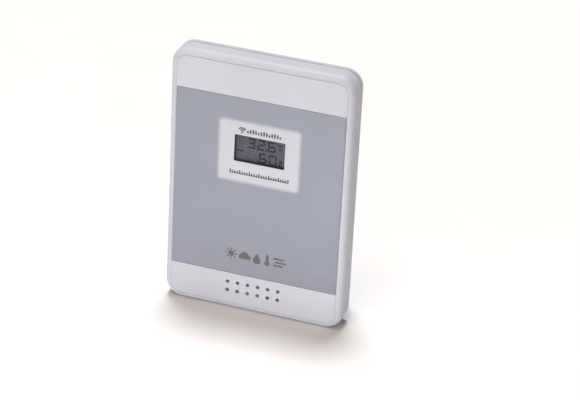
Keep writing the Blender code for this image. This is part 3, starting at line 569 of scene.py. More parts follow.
def shade(tone, factor):
    """A tone made lighter or darker."""
    return tuple(min(1.0, value * factor) for value in tone)


def moulded_plastic(name, tone, roughness=0.46, grain=0.014, grain_size=0.22):
    """Moulded plastic with a fine eroded grain, slow flow marks, and faint rubbing."""
    made = Finish(name, roughness)
    flow = made.span(made.noise(26.0, 2.0, (1.0, 1.0, 2.2)), 0.35, 0.65, 0.0, 1.0, True)
    even = made.mix(flow, shade(tone, 0.975), shade(tone, 1.015))
    warm = tuple(a * b for a, b in zip(tone, (0.985, 0.975, 0.945)))
    made.set("Base Color", made.mix(made.spots(0.52, 0.78, 0.35, 7.0, 5.0), even, warm))
    patches = made.uneven(roughness - 0.06, roughness + 0.05, 5.0, 4.0)
    scuffs = made.spots(0.62, 0.72, -0.07, 0.9, 3.0, (9.0, 1.0, 1.0))
    made.set("Roughness", made.math("ADD", patches, scuffs))
    made.bump(made.noise(grain_size, 2.0), grain)
    made.bump(made.noise(1.4, 4.0), grain * 0.8)
    made.set("IOR", 1.52)
    return made.material


def silver_film(tone, mask_tone):
    """Silver-grey film of the face with a fine sparkle, painted shade that darkens it a little towards its
    top, and the soft white print about the display.
    """
    made = Finish("label_silver", 0.46)
    grain = made.noise(0.5)
    speck = made.span(grain, 0.32, 0.68, 0.0, 1.0)
    film = made.mix(speck, shade(tone, 0.90), shade(tone, 1.09))
    film = made.mix(made.spots(0.35, 0.65, 0.5, 17.0), film, shade(tone, 0.95))
    # painted shade: the film darkens a little from its foot to its top
    height = made.span(made.axis("Z"), LABEL.z0 * MM, LABEL.z1 * MM, 0.0, 1.0)
    film = made.mix(height, film, shade(tone, 0.97))
    border = made.rounded_box(**MASK)
    frayed = made.math("MULTIPLY", made.uneven(-0.16, 0.16, 0.7), made.edge_of(border))
    border = made.math("ADD", border, frayed)
    mask = made.mix(made.span(grain, 0.35, 0.65, 0.0, 1.0), shade(mask_tone, 0.975), mask_tone)
    made.set("Base Color", made.mix(made.span(border, 0.0, 1.0, 0.0, 1.0), film, mask))
    made.set("Metallic", made.span(border, 0.0, 0.8, 0.32, 0.0))
    rough = made.span(grain, 0.3, 0.7, 0.40, 0.52)
    made.set("Roughness", made.math("ADD", rough, made.uneven(-0.04, 0.05, 9.0, 4.0)))
    made.bump(grain, 0.006)
    made.bump(made.noise(12.0, 2.0), 0.02)
    return made.material


def print_ink(name, tone):
    """Screen-printed ink with slightly uneven cover."""
    made = Finish(name, 0.4)
    made.set("Base Color", made.mix(made.uneven(0.0, 1.0, 0.25), tone, shade(tone, 1.35)))
    made.set("Roughness", made.uneven(0.34, 0.48, 0.6))
    made.bump(made.noise(0.12, 2.0), 0.003)
    return made.material


def clear_lens():
    """Clear window with a faint haze and hairline marks."""
    made = Finish("window_clear", 0.06)
    made.set("Base Color", made.mix(made.noise(6.0), (0.20, 0.21, 0.24), (0.26, 0.27, 0.30)))
    made.set("Alpha", made.span(made.noise(3.0, 4.0), 0.35, 0.65, 0.03, 0.05))
    hairs = made.spots(0.64, 0.7, 0.10, 0.35, 2.0, (14.0, 1.0, 1.0))
    made.set("Roughness", made.math("ADD", made.uneven(0.05, 0.09, 2.0), hairs))
    made.bump(made.noise(4.0, 1.0), 0.002)
    made.set("IOR", 1.49)
    return made.material


def screen_film(tone):
    """Polariser of the display: grey, with painted shade that darkens it to the left and to the bottom."""
    made = Finish("lcd_grey", 0.2)
    # painted shade: the display darkens towards the left and bottom walls of its recess
    across = made.span(made.axis("X"), LENS.x0 * MM, (LENS.x0 + 7.0) * MM, 0.42, 0.0, True)
    down = made.span(made.axis("Z"), LENS.z0 * MM, (LENS.z0 + 6.0) * MM, 0.40, 0.0, True)
    painted_recess_shade = made.math("MAXIMUM", across, down)
    cloud = made.span(made.noise(3.5), 0.35, 0.65, 0.0, 0.12)
    made.set("Base Color", made.mix(made.math("ADD", painted_recess_shade, cloud), tone, shade(tone, 0.35)))
    made.set("Roughness", made.uneven(0.16, 0.26, 1.2))
    made.bump(made.cells(0.12), 0.001)
    made.set("Specular IOR Level", 0.25)
    return made.material


def crystal(name, tone, cover):
    """A segment of the display, its tone a little uneven."""
    made = Finish(name, 0.3)
    made.set("Base Color", made.mix(made.uneven(0.0, 1.0, 0.5), tone, shade(tone, 1.25)))
    made.set("Roughness", made.uneven(0.22, 0.34, 0.8))
    made.set("Alpha", made.uneven(cover - 0.05, cover + 0.05, 0.3))
    made.bump(made.noise(0.2), 0.001)
    made.set("Specular IOR Level", 0.1)
    return made.material


def bare_metal(name, tone, roughness):
    """Plated metal with fine drawing marks and a few dull spots."""
    made = Finish(name, roughness, 1.0)
    drawn = (12.0, 1.0, 1.0)
    dull = made.spots(0.5, 0.75, 0.5, 1.6, 4.0)
    made.set("Base Color", made.mix(dull, tone, shade(tone, 0.72)))
    gloss = made.span(dull, 0.0, 0.5, roughness, roughness + 0.15)
    made.set("Roughness", made.math("ADD", gloss, made.uneven(-0.05, 0.07, 0.1, 2.0, drawn)))
    made.bump(made.noise(0.08, 2.0, drawn), 0.002)
    return made.material


def cell_jacket(name, tone, band, plus_x, towards):
    """Printed jacket of a cell with a light band before its plus end."""
    made = Finish(name, 0.3, 0.25)
    along = made.math("MULTIPLY", made.math("SUBTRACT", made.axis("X"), plus_x * MM), float(towards))
    start = made.span(along, -11.2 * MM, -11.0 * MM, 0.0, 1.0)
    stop = made.span(along, -8.2 * MM, -8.0 * MM, 1.0, 0.0)
    body = made.mix(made.spots(0.58, 0.7, 0.35, 0.8, 4.0), tone, shade(tone, 2.0))
    made.set("Base Color", made.mix(made.math("MULTIPLY", start, stop), body, band))
    made.set("Roughness", made.uneven(0.24, 0.38, 1.5, 4.0))
    made.bump(made.noise(2.5, 2.0, (5.0, 1.0, 1.0)), 0.01)
    return made.material


def circuit_board(name, tone):
    """Solder mask over copper tracks, with small pads."""
    made = Finish(name, 0.36)
    tracks = made.span(made.cells(2.6, "DISTANCE_TO_EDGE"), 0.05, 0.09, 1.0, 0.0)
    pads = made.span(made.cells(1.9, "F1", "CHEBYCHEV"), 0.16, 0.2, 1.0, 0.0)
    masked = made.mix(tracks, tone, shade(tone, 1.9))
    made.set("Base Color", made.mix(pads, masked, (0.55, 0.52, 0.44)))
    made.set("Metallic", pads)
    made.set("Roughness", made.uneven(0.3, 0.45, 1.1))
    made.bump(tracks, 0.03)
    return made.material


def zebra_silicone():
    """Silicone strip with conducting layers across it."""
    made = Finish("strip_silicone", 0.55)
    inputs = {"Vector": made.place, "Scale": 0.1 / MM, "Distortion": 0.4}
    layers = made.add("ShaderNodeTexWave", inputs, wave_type="BANDS", bands_direction="X").outputs["Fac"]
    dark = made.span(layers, 0.4, 0.6, 0.0, 1.0)
    made.set("Base Color", made.mix(dark, (0.32, 0.05, 0.04), (0.03, 0.03, 0.03)))
    made.set("Roughness", made.uneven(0.5, 0.65, 0.4))
    made.bump(layers, 0.01)
    return made.material


def plain_part(name, tone, roughness, size=0.4, depth=0.008):
    """Small component: an even tone with mottling, uneven gloss and a fine surface."""
    made = Finish(name, roughness)
    mottle = made.span(made.noise(size * 3, 4.0), 0.35, 0.65, 0.0, 1.0)
    made.set("Base Color", made.mix(mottle, shade(tone, 0.88), shade(tone, 1.1)))
    made.set("Roughness", made.uneven(roughness - 0.06, roughness + 0.08, size * 2))
    made.bump(made.noise(size, 2.0), depth)
    return made.material


def pale_floor(tone):
    """Smooth pale board, barely uneven."""
    made = Finish("floor_board", 0.6)
    cloud = made.spots(0.35, 0.65, 1.0, 180.0)
    made.set("Base Color", made.mix(cloud, shade(tone, 0.99), tone))
    made.set("Roughness", made.uneven(0.55, 0.68, 30.0))
    made.bump(made.noise(0.6), 0.01)
    return made.material


# ---------------------------------------------------------------- operators


class SensorOperator(bpy.types.Operator):
    """Shared base of the sensor's operators."""

    bl_options = {"REGISTER", "UNDO"}

    def execute(self, context):
        self.build(context.scene.sensor_sizes, context.scene.sensor_finishes)
        return {"FINISHED"}


class SENSOR_OT_front_case(SensorOperator):
    """Builds the front case with its groove, vents, window opening and screw bosses"""

    bl_idname = "sensor.front_case"
    bl_label = "Front Case"

    def build(self, sizes, finishes):
        corner = sizes.corner_radius / MM
        wall = sizes.wall / MM
        parting = FACE_Y + sizes.front_depth / MM
        profile = self.profile(sizes, parting)
        shell = as_object("front_case", skin(sweep(FRONT.width, FRONT.z0, FRONT.z1, corner, profile)))
        inner = FACE_Y + wall
        cavity = (FRONT.width - 2 * wall, FRONT.z0 + wall, FRONT.z1 - wall, corner - wall)
        cut(shell, slab(*cavity, inner, parting + 1.0, front=0.5))

        root = inner - 0.6
        posts = []
        cutters = []
        for screws, post_r, end, hole_r, floor in (
            (CASE_SCREWS, 2.6, FRONT.y1, 1.3, inner + 1.4),
            (BOARD_SCREWS, 2.2, BOARD.y0 - CLEAR, 1.1, inner + 0.2),
        ):
            posts += [rod(post_r, "y", (s.x, root, s.z), end - root) for s in screws]
            cutters += [rod(hole_r, "y", (s.x, floor, s.z), end + PAST - floor, 24) for s in screws]
        join(shell, *posts)
        gap = 0.12
        half = LABEL.x1 + gap
        cutters += [
            block(-half, half, FACE_Y - PAST, LENS.y0, LABEL.z0 - gap, LABEL.z1 + gap),
            block(LCD.x0 - CLEAR, LCD.x1 + CLEAR, LENS.y1, inner + 1.0, LCD.z0 - CLEAR, LCD.z1 + CLEAR),
            slab(LENS.width + 2 * CLEAR, LENS.z0 - CLEAR, LENS.z1 + CLEAR, 0.5, FACE_Y - 2.0, inner + 0.7),
        ]
        cutters += [self.vent(sizes, column, z) for z in VENT_ROWS for column in range(VENT_COLUMNS)]
        cut(shell, *cutters)
        white = moulded_plastic("front_white", finishes.case, 0.56, 0.012)
        dress(shell, CASE, "front_white", white, "front_shell")

    def profile(self, sizes, parting):
        """From the parting line over the rounded edge, and through the groove to the flat face."""
        fillet = sizes.front_fillet / MM
        outer_wall = (sizes.groove_inset - sizes.groove_width / 2) / MM
        inner_wall = (sizes.groove_inset + sizes.groove_width / 2) / MM
        floor = FACE_Y + sizes.groove_depth / MM
        edge = 0.22
        lip = 0.1
        sunk = 0.05
        points = arc(edge, parting - edge, edge, -90, 0, 5)
        points += arc(fillet, FACE_Y + fillet, fillet, 0, 77, 12)
        points += arc(outer_wall - lip, FACE_Y + sunk + lip, lip, 84, 180, 5)
        points += arc(outer_wall + lip, floor - lip, lip, 0, -90, 4)
        points += arc(inner_wall - lip, floor - lip, lip, -90, -180, 4)
        points += arc(inner_wall + lip, FACE_Y + lip, lip, 0, 90, 5)
        return points

    def vent(self, sizes, column, z):
        """A round hole with a soft lip on the face."""
        radius = sizes.vent_radius / MM
        lip = 0.16
        profile = [(radius + lip, -1.0), *bend(radius + lip, lip, -lip, -lip)[::-1], (radius, 3.0)]
        x = (column - (VENT_COLUMNS - 1) / 2) * sizes.vent_pitch / MM
        return turned(profile, "y", (x, FACE_Y, z), 28)


class SENSOR_OT_face_label(SensorOperator):
    """Builds the face film, with its soft white print and its printed marks"""

    bl_idname = "sensor.face_label"
    bl_label = "Face Label"

    def build(self, sizes, finishes):
        edge = 0.04
        sheet = (LABEL.width, LABEL.z0, LABEL.z1, 0.25)
        bevelled = (LABEL.width - 2 * edge, LABEL.z0 + edge, LABEL.z1 - edge, 0.25)
        hole = (2 * SCREEN_HALF_W, SCREEN_Z - SCREEN_HALF_H, SCREEN_Z + SCREEN_HALF_H, 0.35)
        loops = [
            outline(*sheet, LABEL.y1),
            outline(*sheet, FILM_Y + edge),
            outline(*bevelled, FILM_Y),
            outline(*hole, FILM_Y, SCREEN_X),
            outline(*hole, LABEL.y1, SCREEN_X),
        ]
        film = as_object("face_label", skin(loops, ring=True))
        dress(film, CASE, "label_silver", silver_film(finishes.label, finishes.mask), "face_label")
        dark = print_ink("dark_ink", finishes.ink)
        grey = print_ink("grey_ink", finishes.grey_ink)
        self.add_print("print_marks", dark, self.radio_sign() + self.level_bars() + self.scale())
        self.add_print("print_pictograms", grey, self.pictograms())

    def add_print(self, name, ink, outlines):
        marks = bmesh.new()
        for points in outlines:
            add_prism(marks, points, PRINT_Y, FILM_Y + 0.01)
        dress(as_object(name, marks), CASE, "label_silver", ink)

    def disc(self, x, z, radius):
        return curve(x, z, radius, 0, 360, 28)[:-1]

    def radio_sign(self):
        """A dot with two arcs over it: a generic sign for radio."""
        x, z = -6.1, 68.35
        half = 0.23
        marks = [self.disc(x, z, 0.34)]
        for radius in (0.9, 1.65):
            outer = curve(x, z, radius + half, 138, 42, 12)
            marks.append(outer + curve(x, z, radius - half, 42, 138, 12))
        return marks

    def level_bars(self):
        """A row of bars of rising and falling height beside the radio sign."""
        foot = 68.4
        half = 0.27
        marks = []
        for i in range(13):
            x = -4.1 + 11.5 * i / 12
            top = foot + 0.9 + 0.7 * abs(math.sin(math.pi * i / 4))
            marks.append(rectangle(x - half, x + half, foot, top))
        return marks

    def scale(self):
        """A graduated line below the display."""
        start, run = -9.9, 20.8
        half = 0.21
        steps = 24
        marks = [rectangle(start - half, start + run + half, SCALE_Z, SCALE_Z + 0.31)]
        for i in range(steps + 1):
            x = start + run * i / steps
            top = SCALE_Z + (1.45 if i % 4 == 0 else 1.0)
            marks.append(rectangle(x - half, x + half, SCALE_Z + 0.33, top))
        return marks

    def pictograms(self):
        """Sun, cloud, drop, thermometer and wind in a row: generic signs for the weather."""
        z = PICTOGRAM_Z
        middle = [self.cloud(-3.4, z), self.drop(1.1, z), self.tube(4.9, z)]
        return self.sun(-8.3, z) + middle + self.wind(9.4, z)

    def sun(self, x, z):
        marks = [self.disc(x, z, 1.12)]
        for i in range(8):
            turn = math.pi * i / 4
            out, side = (math.cos(turn), math.sin(turn)), (-math.sin(turn), math.cos(turn))
            ray = rectangle(1.45, 2.2, -0.25, 0.25)
            marks.append([(x + a * out[0] + b * side[0], z + a * out[1] + b * side[1]) for a, b in ray])
        return marks

    def cloud(self, x, z):
        puffs = ((-1.15, -0.3, 0.95), (0.15, 0.25, 1.3), (1.4, -0.4, 0.85))  # middles and radii
        left, right, foot = -2.1, 2.25, -1.25
        points = [(x + right, z + foot), (x + left, z + foot)]
        for i in range(41):
            across = left + (right - left) * i / 40
            tops = [v + math.sqrt(r * r - (across - u) ** 2) for u, v, r in puffs if abs(across - u) < r]
            points.append((x + across, z + max(tops, default=-1.2)))
        return points

    def drop(self, x, z):
        points = []
        for i in range(40):
            turn = 2 * math.pi * i / 40
            half = 2.0 * math.sin(turn) * abs(math.sin(turn / 2)) ** 1.6
            points.append((x + half, z - 0.1 + 2.1 * math.cos(turn)))
        return points

    def tube(self, x, z):
        """A thermometer: a bulb with a stem."""
        bulb, stem = 1.0, 0.5
        opening = math.degrees(math.asin(stem / bulb))
        points = curve(x, z - 1.15, bulb, 90 + opening, 450 - opening, 24)
        return points + curve(x, z + 1.75, stem, 0, 180, 12)

    def wind(self, x, z):
        half = 0.36
        marks = []
        for start, end, level in ((-2.0, 1.4, z + 1.3), (-1.4, 2.1, z), (-2.0, 0.9, z - 1.3)):
            right = curve(x + end, level, half, -90, 90, 8)
            marks.append(right + curve(x + start, level, half, 90, 270, 8))
        return marks


class SENSOR_OT_display(SensorOperator):
    """Builds the clear window and the liquid crystal display with its digits"""

    bl_idname = "sensor.display"
    bl_label = "Display"

    def build(self, sizes, finishes):
        edge = 0.08
        lens = slab(LENS.width, LENS.z0, LENS.z1, 0.4, LENS.y0, LENS.y1, edge, edge)
        dress(as_object("display_window", lens), CASE, "window_clear", clear_lens(), "display_window")
        panel = block(LCD.x0, LCD.x1, LCD.y0, LCD.y1, LCD.z0, LCD.z1, edge)
        dress(as_object("lcd_panel", panel), CASE, "lcd_grey", screen_film(finishes.screen), "lcd_glass")

        upper = SCREEN_Z + 0.05
        lower = SCREEN_Z - 4.85
        digit = (sizes.digit_width / MM, sizes.digit_height / MM, 0.62)
        lit = [rectangle(2.0, 2.6, upper - 0.05, upper + 0.6)]
        for sign, x, z, size in (
            ("3", -4.5, upper, digit), ("2", -1.0, upper, digit), ("6", 2.8, upper, digit),
            ("C", 6.75, upper + 1.2, (1.35, 1.85, 0.42)),
            ("6", -0.25, lower, digit), ("0", 3.3, lower, digit),
        ):
            lit += [self.stroke(number, x, z, *size) for number in range(7) if SEGMENTS[sign][number] == "1"]
        lit += self.degree_ring(6.15, upper + 3.35, 0.38, 0.17)
        lit += self.percent(6.85, lower, 1.25, 2.5)
        self.add_segments("lcd_digits", lit, crystal("segment_dark", finishes.segment, 0.95))
        dash = [
            rectangle(-8.0, -5.85, SCREEN_Z - 1.75, SCREEN_Z - 1.25),
            rectangle(-7.1, -6.5, SCREEN_Z - 1.25, SCREEN_Z - 0.95),
        ]
        tone = tuple(0.55 * a + 0.45 * b for a, b in zip(finishes.segment, shade(finishes.screen, 0.6)))
        self.add_segments("lcd_trend_mark", dash, crystal("segment_fading", tone, 0.8))

    def add_segments(self, name, outlines, material):
        bm = bmesh.new()
        for points in outlines:
            add_prism(bm, points, LCD.y0 - 0.03, LCD.y0 - 0.01)
        dress(as_object(name, bm), CASE, "lcd_grey", material)

    def degree_ring(self, x, z, radius, stroke):
        """A small open square in four strokes."""
        inner = radius - stroke
        side = inner - 0.02
        return [
            rectangle(x - radius, x + radius, z + inner, z + radius),
            rectangle(x - radius, x + radius, z - radius, z - inner),
            rectangle(x - radius, x - inner, z - side, z + side),
            rectangle(x + inner, x + radius, z - side, z + side),
        ]

    def percent(self, x, z, width, height):
        """Two small squares with a stroke between them."""
        dot = width * 0.36
        slant = width * 0.3
        right, top = x + width, z + height
        return [
            rectangle(x, x + dot, top - dot * 1.6, top),
            rectangle(right - dot, right, z, z + dot * 1.6),
            (
                (x, z), (x + slant, z), (right, z + height * 0.55 + slant), (right, top),
                (right - slant, top), (x, z + height * 0.4),
            ),
        ]

    def stroke(self, number, x, z, width, height, stroke):
        """One of a sign's seven strokes, with mitred ends and a hair's gap to the next."""
        gap = 0.045
        half = stroke / 2
        middle = z + height / 2
        x0, x1 = x + half + gap, x + width - half - gap
        if number == 3:
            return (
                (x0, middle), (x0 + half, middle - half), (x1 - half, middle - half),
                (x1, middle), (x1 - half, middle + half), (x0 + half, middle + half),
            )
        if number in (0, 6):
            outer, inner = (z + height, z + height - stroke) if number == 0 else (z, z + stroke)
            return ((x0 - half, outer), (x1 + half, outer), (x1 - half, inner), (x0 + half, inner))
        out_x, in_x = (x + width, x + width - stroke) if number in (2, 5) else (x, x + stroke)
        towards = 1 if number in (1, 2) else -1  # from the middle to the stroke's far end
        far = z + height - gap if towards > 0 else z + gap
        near = middle + towards * gap
        waist = near + towards * half
        return (
            (out_x, far), (in_x, far - towards * stroke), (in_x, waist), ((out_x + in_x) / 2, near),
            (out_x, waist),
        )


class SENSOR_OT_rear_case(SensorOperator):
    """Builds the rear case with its hump, battery bay, stand recess, keyhole and screw wells"""

    bl_idname = "sensor.rear_case"
    bl_label = "Rear Case"

    def build(self, sizes, finishes):
        corner = sizes.corner_radius / MM
        rim_front = FACE_Y + sizes.front_depth / MM + CLEAR
        rim_back = rim_front + sizes.rim_depth / MM
        fillet = sizes.rim_fillet / MM
        edge = 0.2
        profile = arc(edge, rim_front + edge, edge, 90, 0, 5)
        profile += arc(fillet, rim_back - fillet, fillet, 0, -90, 10)
        shell = as_object("rear_case", skin(sweep(REAR.width, REAR.z0, REAR.z1, corner, profile)))

        width = sizes.hump_width / MM
        top = sizes.hump_height / MM
        wall = sizes.hump_wall / MM
        foot = 0.7
        back = 2.0
        root = [(-foot, rim_front + foot), *bend(-foot, rim_back + foot, foot, -foot, 6)[::-1]]
        hump = sweep(width, 0.0, top, HUMP_CORNER, root, keep_foot=True)
        hump += sweep(width, 0.0, top, HUMP_CORNER, arc(back, BACK_Y - back, back, 0, -90, 10))
        join(shell, skin(hump))
        cavity = (width - 2 * wall, wall, top - wall, HUMP_CORNER - wall, rim_front - 1.0, BACK_Y - wall)
        cut(shell, slab(*cavity, back=0.8))
        walls = self.inner_walls(rim_front, width / 2 - wall, top - wall, wall)
        join(shell, self.lip(sizes, rim_front), *walls)
        cut(shell, *self.openings(rim_front))
        join(shell, *self.raised_marks())
        dress(shell, CASE, "rear_white", moulded_plastic("rear_white", finishes.case), "rear_shell")

    def lip(self, sizes, rim_front):
        """The lip that centres the two case halves."""
        outer = sizes.wall / MM + CLEAR
        inner = outer + 1.2
        front, root = rim_front - 2.2, rim_front + 0.6
        profile = ((outer, front), (outer, root), (inner, root), (inner, front))
        return skin(sweep(REAR.width, REAR.z0, REAR.z1, sizes.corner_radius / MM, profile), ring=True)

    def inner_walls(self, rim_front, half_width, top, wall):
        """Walls that the openings are cut into."""
        back = BACK_Y - wall + JOIN
        reach = half_width + JOIN
        recess_reach = RECESS_HALF_W + 2.1
        walls = [
            block(-reach, reach, BAY_FLOOR - 1.0, DOOR_Y - 1.1, BAY_Z0 - 1.5, BAY_Z1 + 1.5),
            block(-reach, reach, DOOR_Y - 1.7, back, DOOR.z0 - 1.6, DOOR.z1 + 1.6),
            block(-recess_reach, recess_reach, RECESS_FLOOR - 1.5, back, 0.6, RECESS_TOP + 1.5),
            block(-6.0, 6.0, BACK_Y - 6.3, back, KEYHOLE_Z - 4.4, top + JOIN),
        ]
        post_y = rim_front + 0.9
        return walls + [rod(3.0, "y", (s.x, post_y, s.z), back - post_y) for s in CASE_SCREWS]

    def openings(self, rim_front):
        """Everything cut into the back."""
        seat = DOOR_Y - CLEAR
        sunk = STRIP_FLOOR - 1.5
        inside = BAY_HALF_W - 0.4
        door = (DOOR.width + 2 * CLEAR, DOOR.z0 - CLEAR, DOOR.z1 + CLEAR, 2.3, seat, BACK_Y)
        slide = (KNOB.width + 4.8, KNOB.z0 - 0.4, KNOB.z1 + 0.4, 0.4, sunk, STRIP_FLOOR)
        slot = (3.4, KEYHOLE_Z - 1.0, KEYHOLE_TOP, 1.7, BACK_Y - 2.4, BACK_Y)
        bore_end = RECESS_HALF_W + 3.1
        cutters = [
            block(-BAY_HALF_W, BAY_HALF_W, BAY_FLOOR, seat + 1.0, BAY_Z0, CELL_BAY_TOP, 0.02),
            block(-BAY_HALF_W, BAY_HALF_W, STRIP_FLOOR, seat + 0.9, CELL_BAY_TOP - 0.5, BAY_Z1, 0.02),
            block(-inside, inside, BAY_FLOOR - 2.0, STRIP_FLOOR - 1.0, CELL_BAY_TOP + 1.2, BAY_Z1 + 0.1),
            socket(*door, 0.22, fillet=0.02),
            socket(2 * RECESS_HALF_W, -4.0, RECESS_TOP, 0.8, RECESS_FLOOR, BACK_Y, 0.3, fillet=0.4),
            rod(1.5, "x", (-bore_end, HINGE_Y, HINGE_Z), 2 * bore_end, 28),
            block(-4.6, 4.6, BACK_Y - 4.9, BACK_Y - 1.6, KEYHOLE_Z - 3.4, KEYHOLE_TOP + 0.4),
            well(3.3, BACK_Y - 2.2, BACK_Y, 0.0, KEYHOLE_Z, 0.3, 48),
            socket(*slot, 0.3, fillet=0.02, steps=12),
            socket(*slide, 0.15, KNOB.x, 0.02),
        ]
        cutters += [well(2.4, sunk, STRIP_FLOOR, button.x, button.z, 0.25) for button in (SEND, UNIT)]
        for cell in CELLS:
            z0, z1 = cell.z - 1.6, cell.z + 1.6
            cutters.append(block(-inside - 0.5, -inside + 0.5, BAY_FLOOR - 1.5, BAY_FLOOR + 0.5, z0, z1))
        for screw in CASE_SCREWS:
            head_y = screw.y1 - SCREW_HEAD_T
            cutters.append(well(2.2, head_y - CLEAR, BACK_Y, screw.x, screw.z, 0.3))
            cutters.append(rod(1.3, "y", (screw.x, rim_front - 0.1, screw.z), head_y - rim_front + 1.0, 24))
        return cutters

    def raised_marks(self):
        """Low moulded marks in the bay: a rib between the cells, and dots at the switch."""
        middle = (CELLS[0].z + CELLS[1].z) / 2
        marks = [block(-19.0, 19.0, BAY_FLOOR - 0.4, BAY_FLOOR + 3.0, middle - 0.3, middle + 0.3, 0.1)]
        dot = ((0.24, 0.0), (0.24, 0.5), (0.15, 0.62))
        for step in (-1, 0, 1):
            for number in range(step + 2):
                place = (KNOB.x + 2.0 * step, STRIP_FLOOR - 0.4, KNOB.z + 2.45 + 0.62 * number)
                marks.append(turned(dot, "y", place, 16))
        return marks


class SENSOR_OT_battery_door(SensorOperator):
    """Builds the battery door with its nail notch, grip grooves and clips"""

    bl_idname = "sensor.battery_door"
    bl_label = "Battery Door"

    def build(self, sizes, finishes):
        under = 0.12
        fillet = 0.3
        profile = [(under, DOOR_Y), (0.0, DOOR_Y + under), *arc(fillet, DOOR.y1 - fillet, fillet, 0, -90, 6)]
        door = as_object("battery_door", skin(sweep(DOOR.width, DOOR.z0, DOOR.z1, 2.0, profile)))
        feet = (BAY_Z0 + CLEAR, BAY_Z1 - CLEAR - 1.0)
        join(door, *[block(-20.0, 20.0, DOOR.y0, DOOR_Y + 0.5, z, z + 1.0, 0.15) for z in feet])
        cutters = [socket(10.0, DOOR.z1 - 1.6, DOOR.z1 + 4.0, 1.2, DOOR.y1 - 0.9, DOOR.y1, 0.2)]
        for row in range(3):
            z = DOOR.z1 - 4.2 - 1.5 * row
            groove = (13.0 - 2.0 * row, z, z + 0.8, 0.4, DOOR.y1 - 0.4, DOOR.y1)
            cutters.append(socket(*groove, 0.12, fillet=0.15))
        cut(door, *cutters)
        white = moulded_plastic("door_white", finishes.case)
        dress(door, "battery_door", "door_white", white, "battery_door")


class SENSOR_OT_stand(SensorOperator):
    """Builds the fold-out stand with its hinge barrel, ribs and finger notch"""

    bl_idname = "sensor.stand"
    bl_label = "Stand"

    def build(self, sizes, finishes):
        half = 12.0
        back = STAND.y1
        plate = (2 * half, STAND.z0, HINGE_Z + 1.7, 0.9, back - 1.9, back)
        leg = as_object("stand_leg", slab(*plate, front=0.25, back=0.35))
        shapes = [self.pin(-half, 1.9, 48), self.pin(STAND.x0, 1.2, 32)]
        for x in (-half + 0.2, half - 1.6):
            rib = (x, x + 1.4, RECESS_FLOOR + 0.6, back - 1.0, STAND.z0 + 2.0, HINGE_Z - 0.5)
            shapes.append(block(*rib, 0.2))
        join(leg, *shapes)
        cut(
            leg,
            socket(15.0, 8.0, 29.0, 2.0, back - 0.5, back, 0.15),
            well(4.5, -6.0, back, 0.0, STAND.z0 - 2.6, 0.3, 64),
            *[block(-9.0, 9.0, back - 0.22, back + 1.0, z, z + 0.45, 0.02) for z in (4.2, 5.4, 6.6)],
        )
        dress(leg, "stand", "stand_white", moulded_plastic("stand_white", finishes.case), "stand_leg")

    def pin(self, x0, radius, sides):
        """A pin along the hinge, from x0 to the same place on the other side."""
        chamfer = 0.3
        run = -2 * x0
        end = radius - chamfer
        profile = ((end, 0.0), (radius, chamfer), (radius, run - chamfer), (end, run))
        return turned(profile, "x", (x0, HINGE_Y, HINGE_Z), sides)


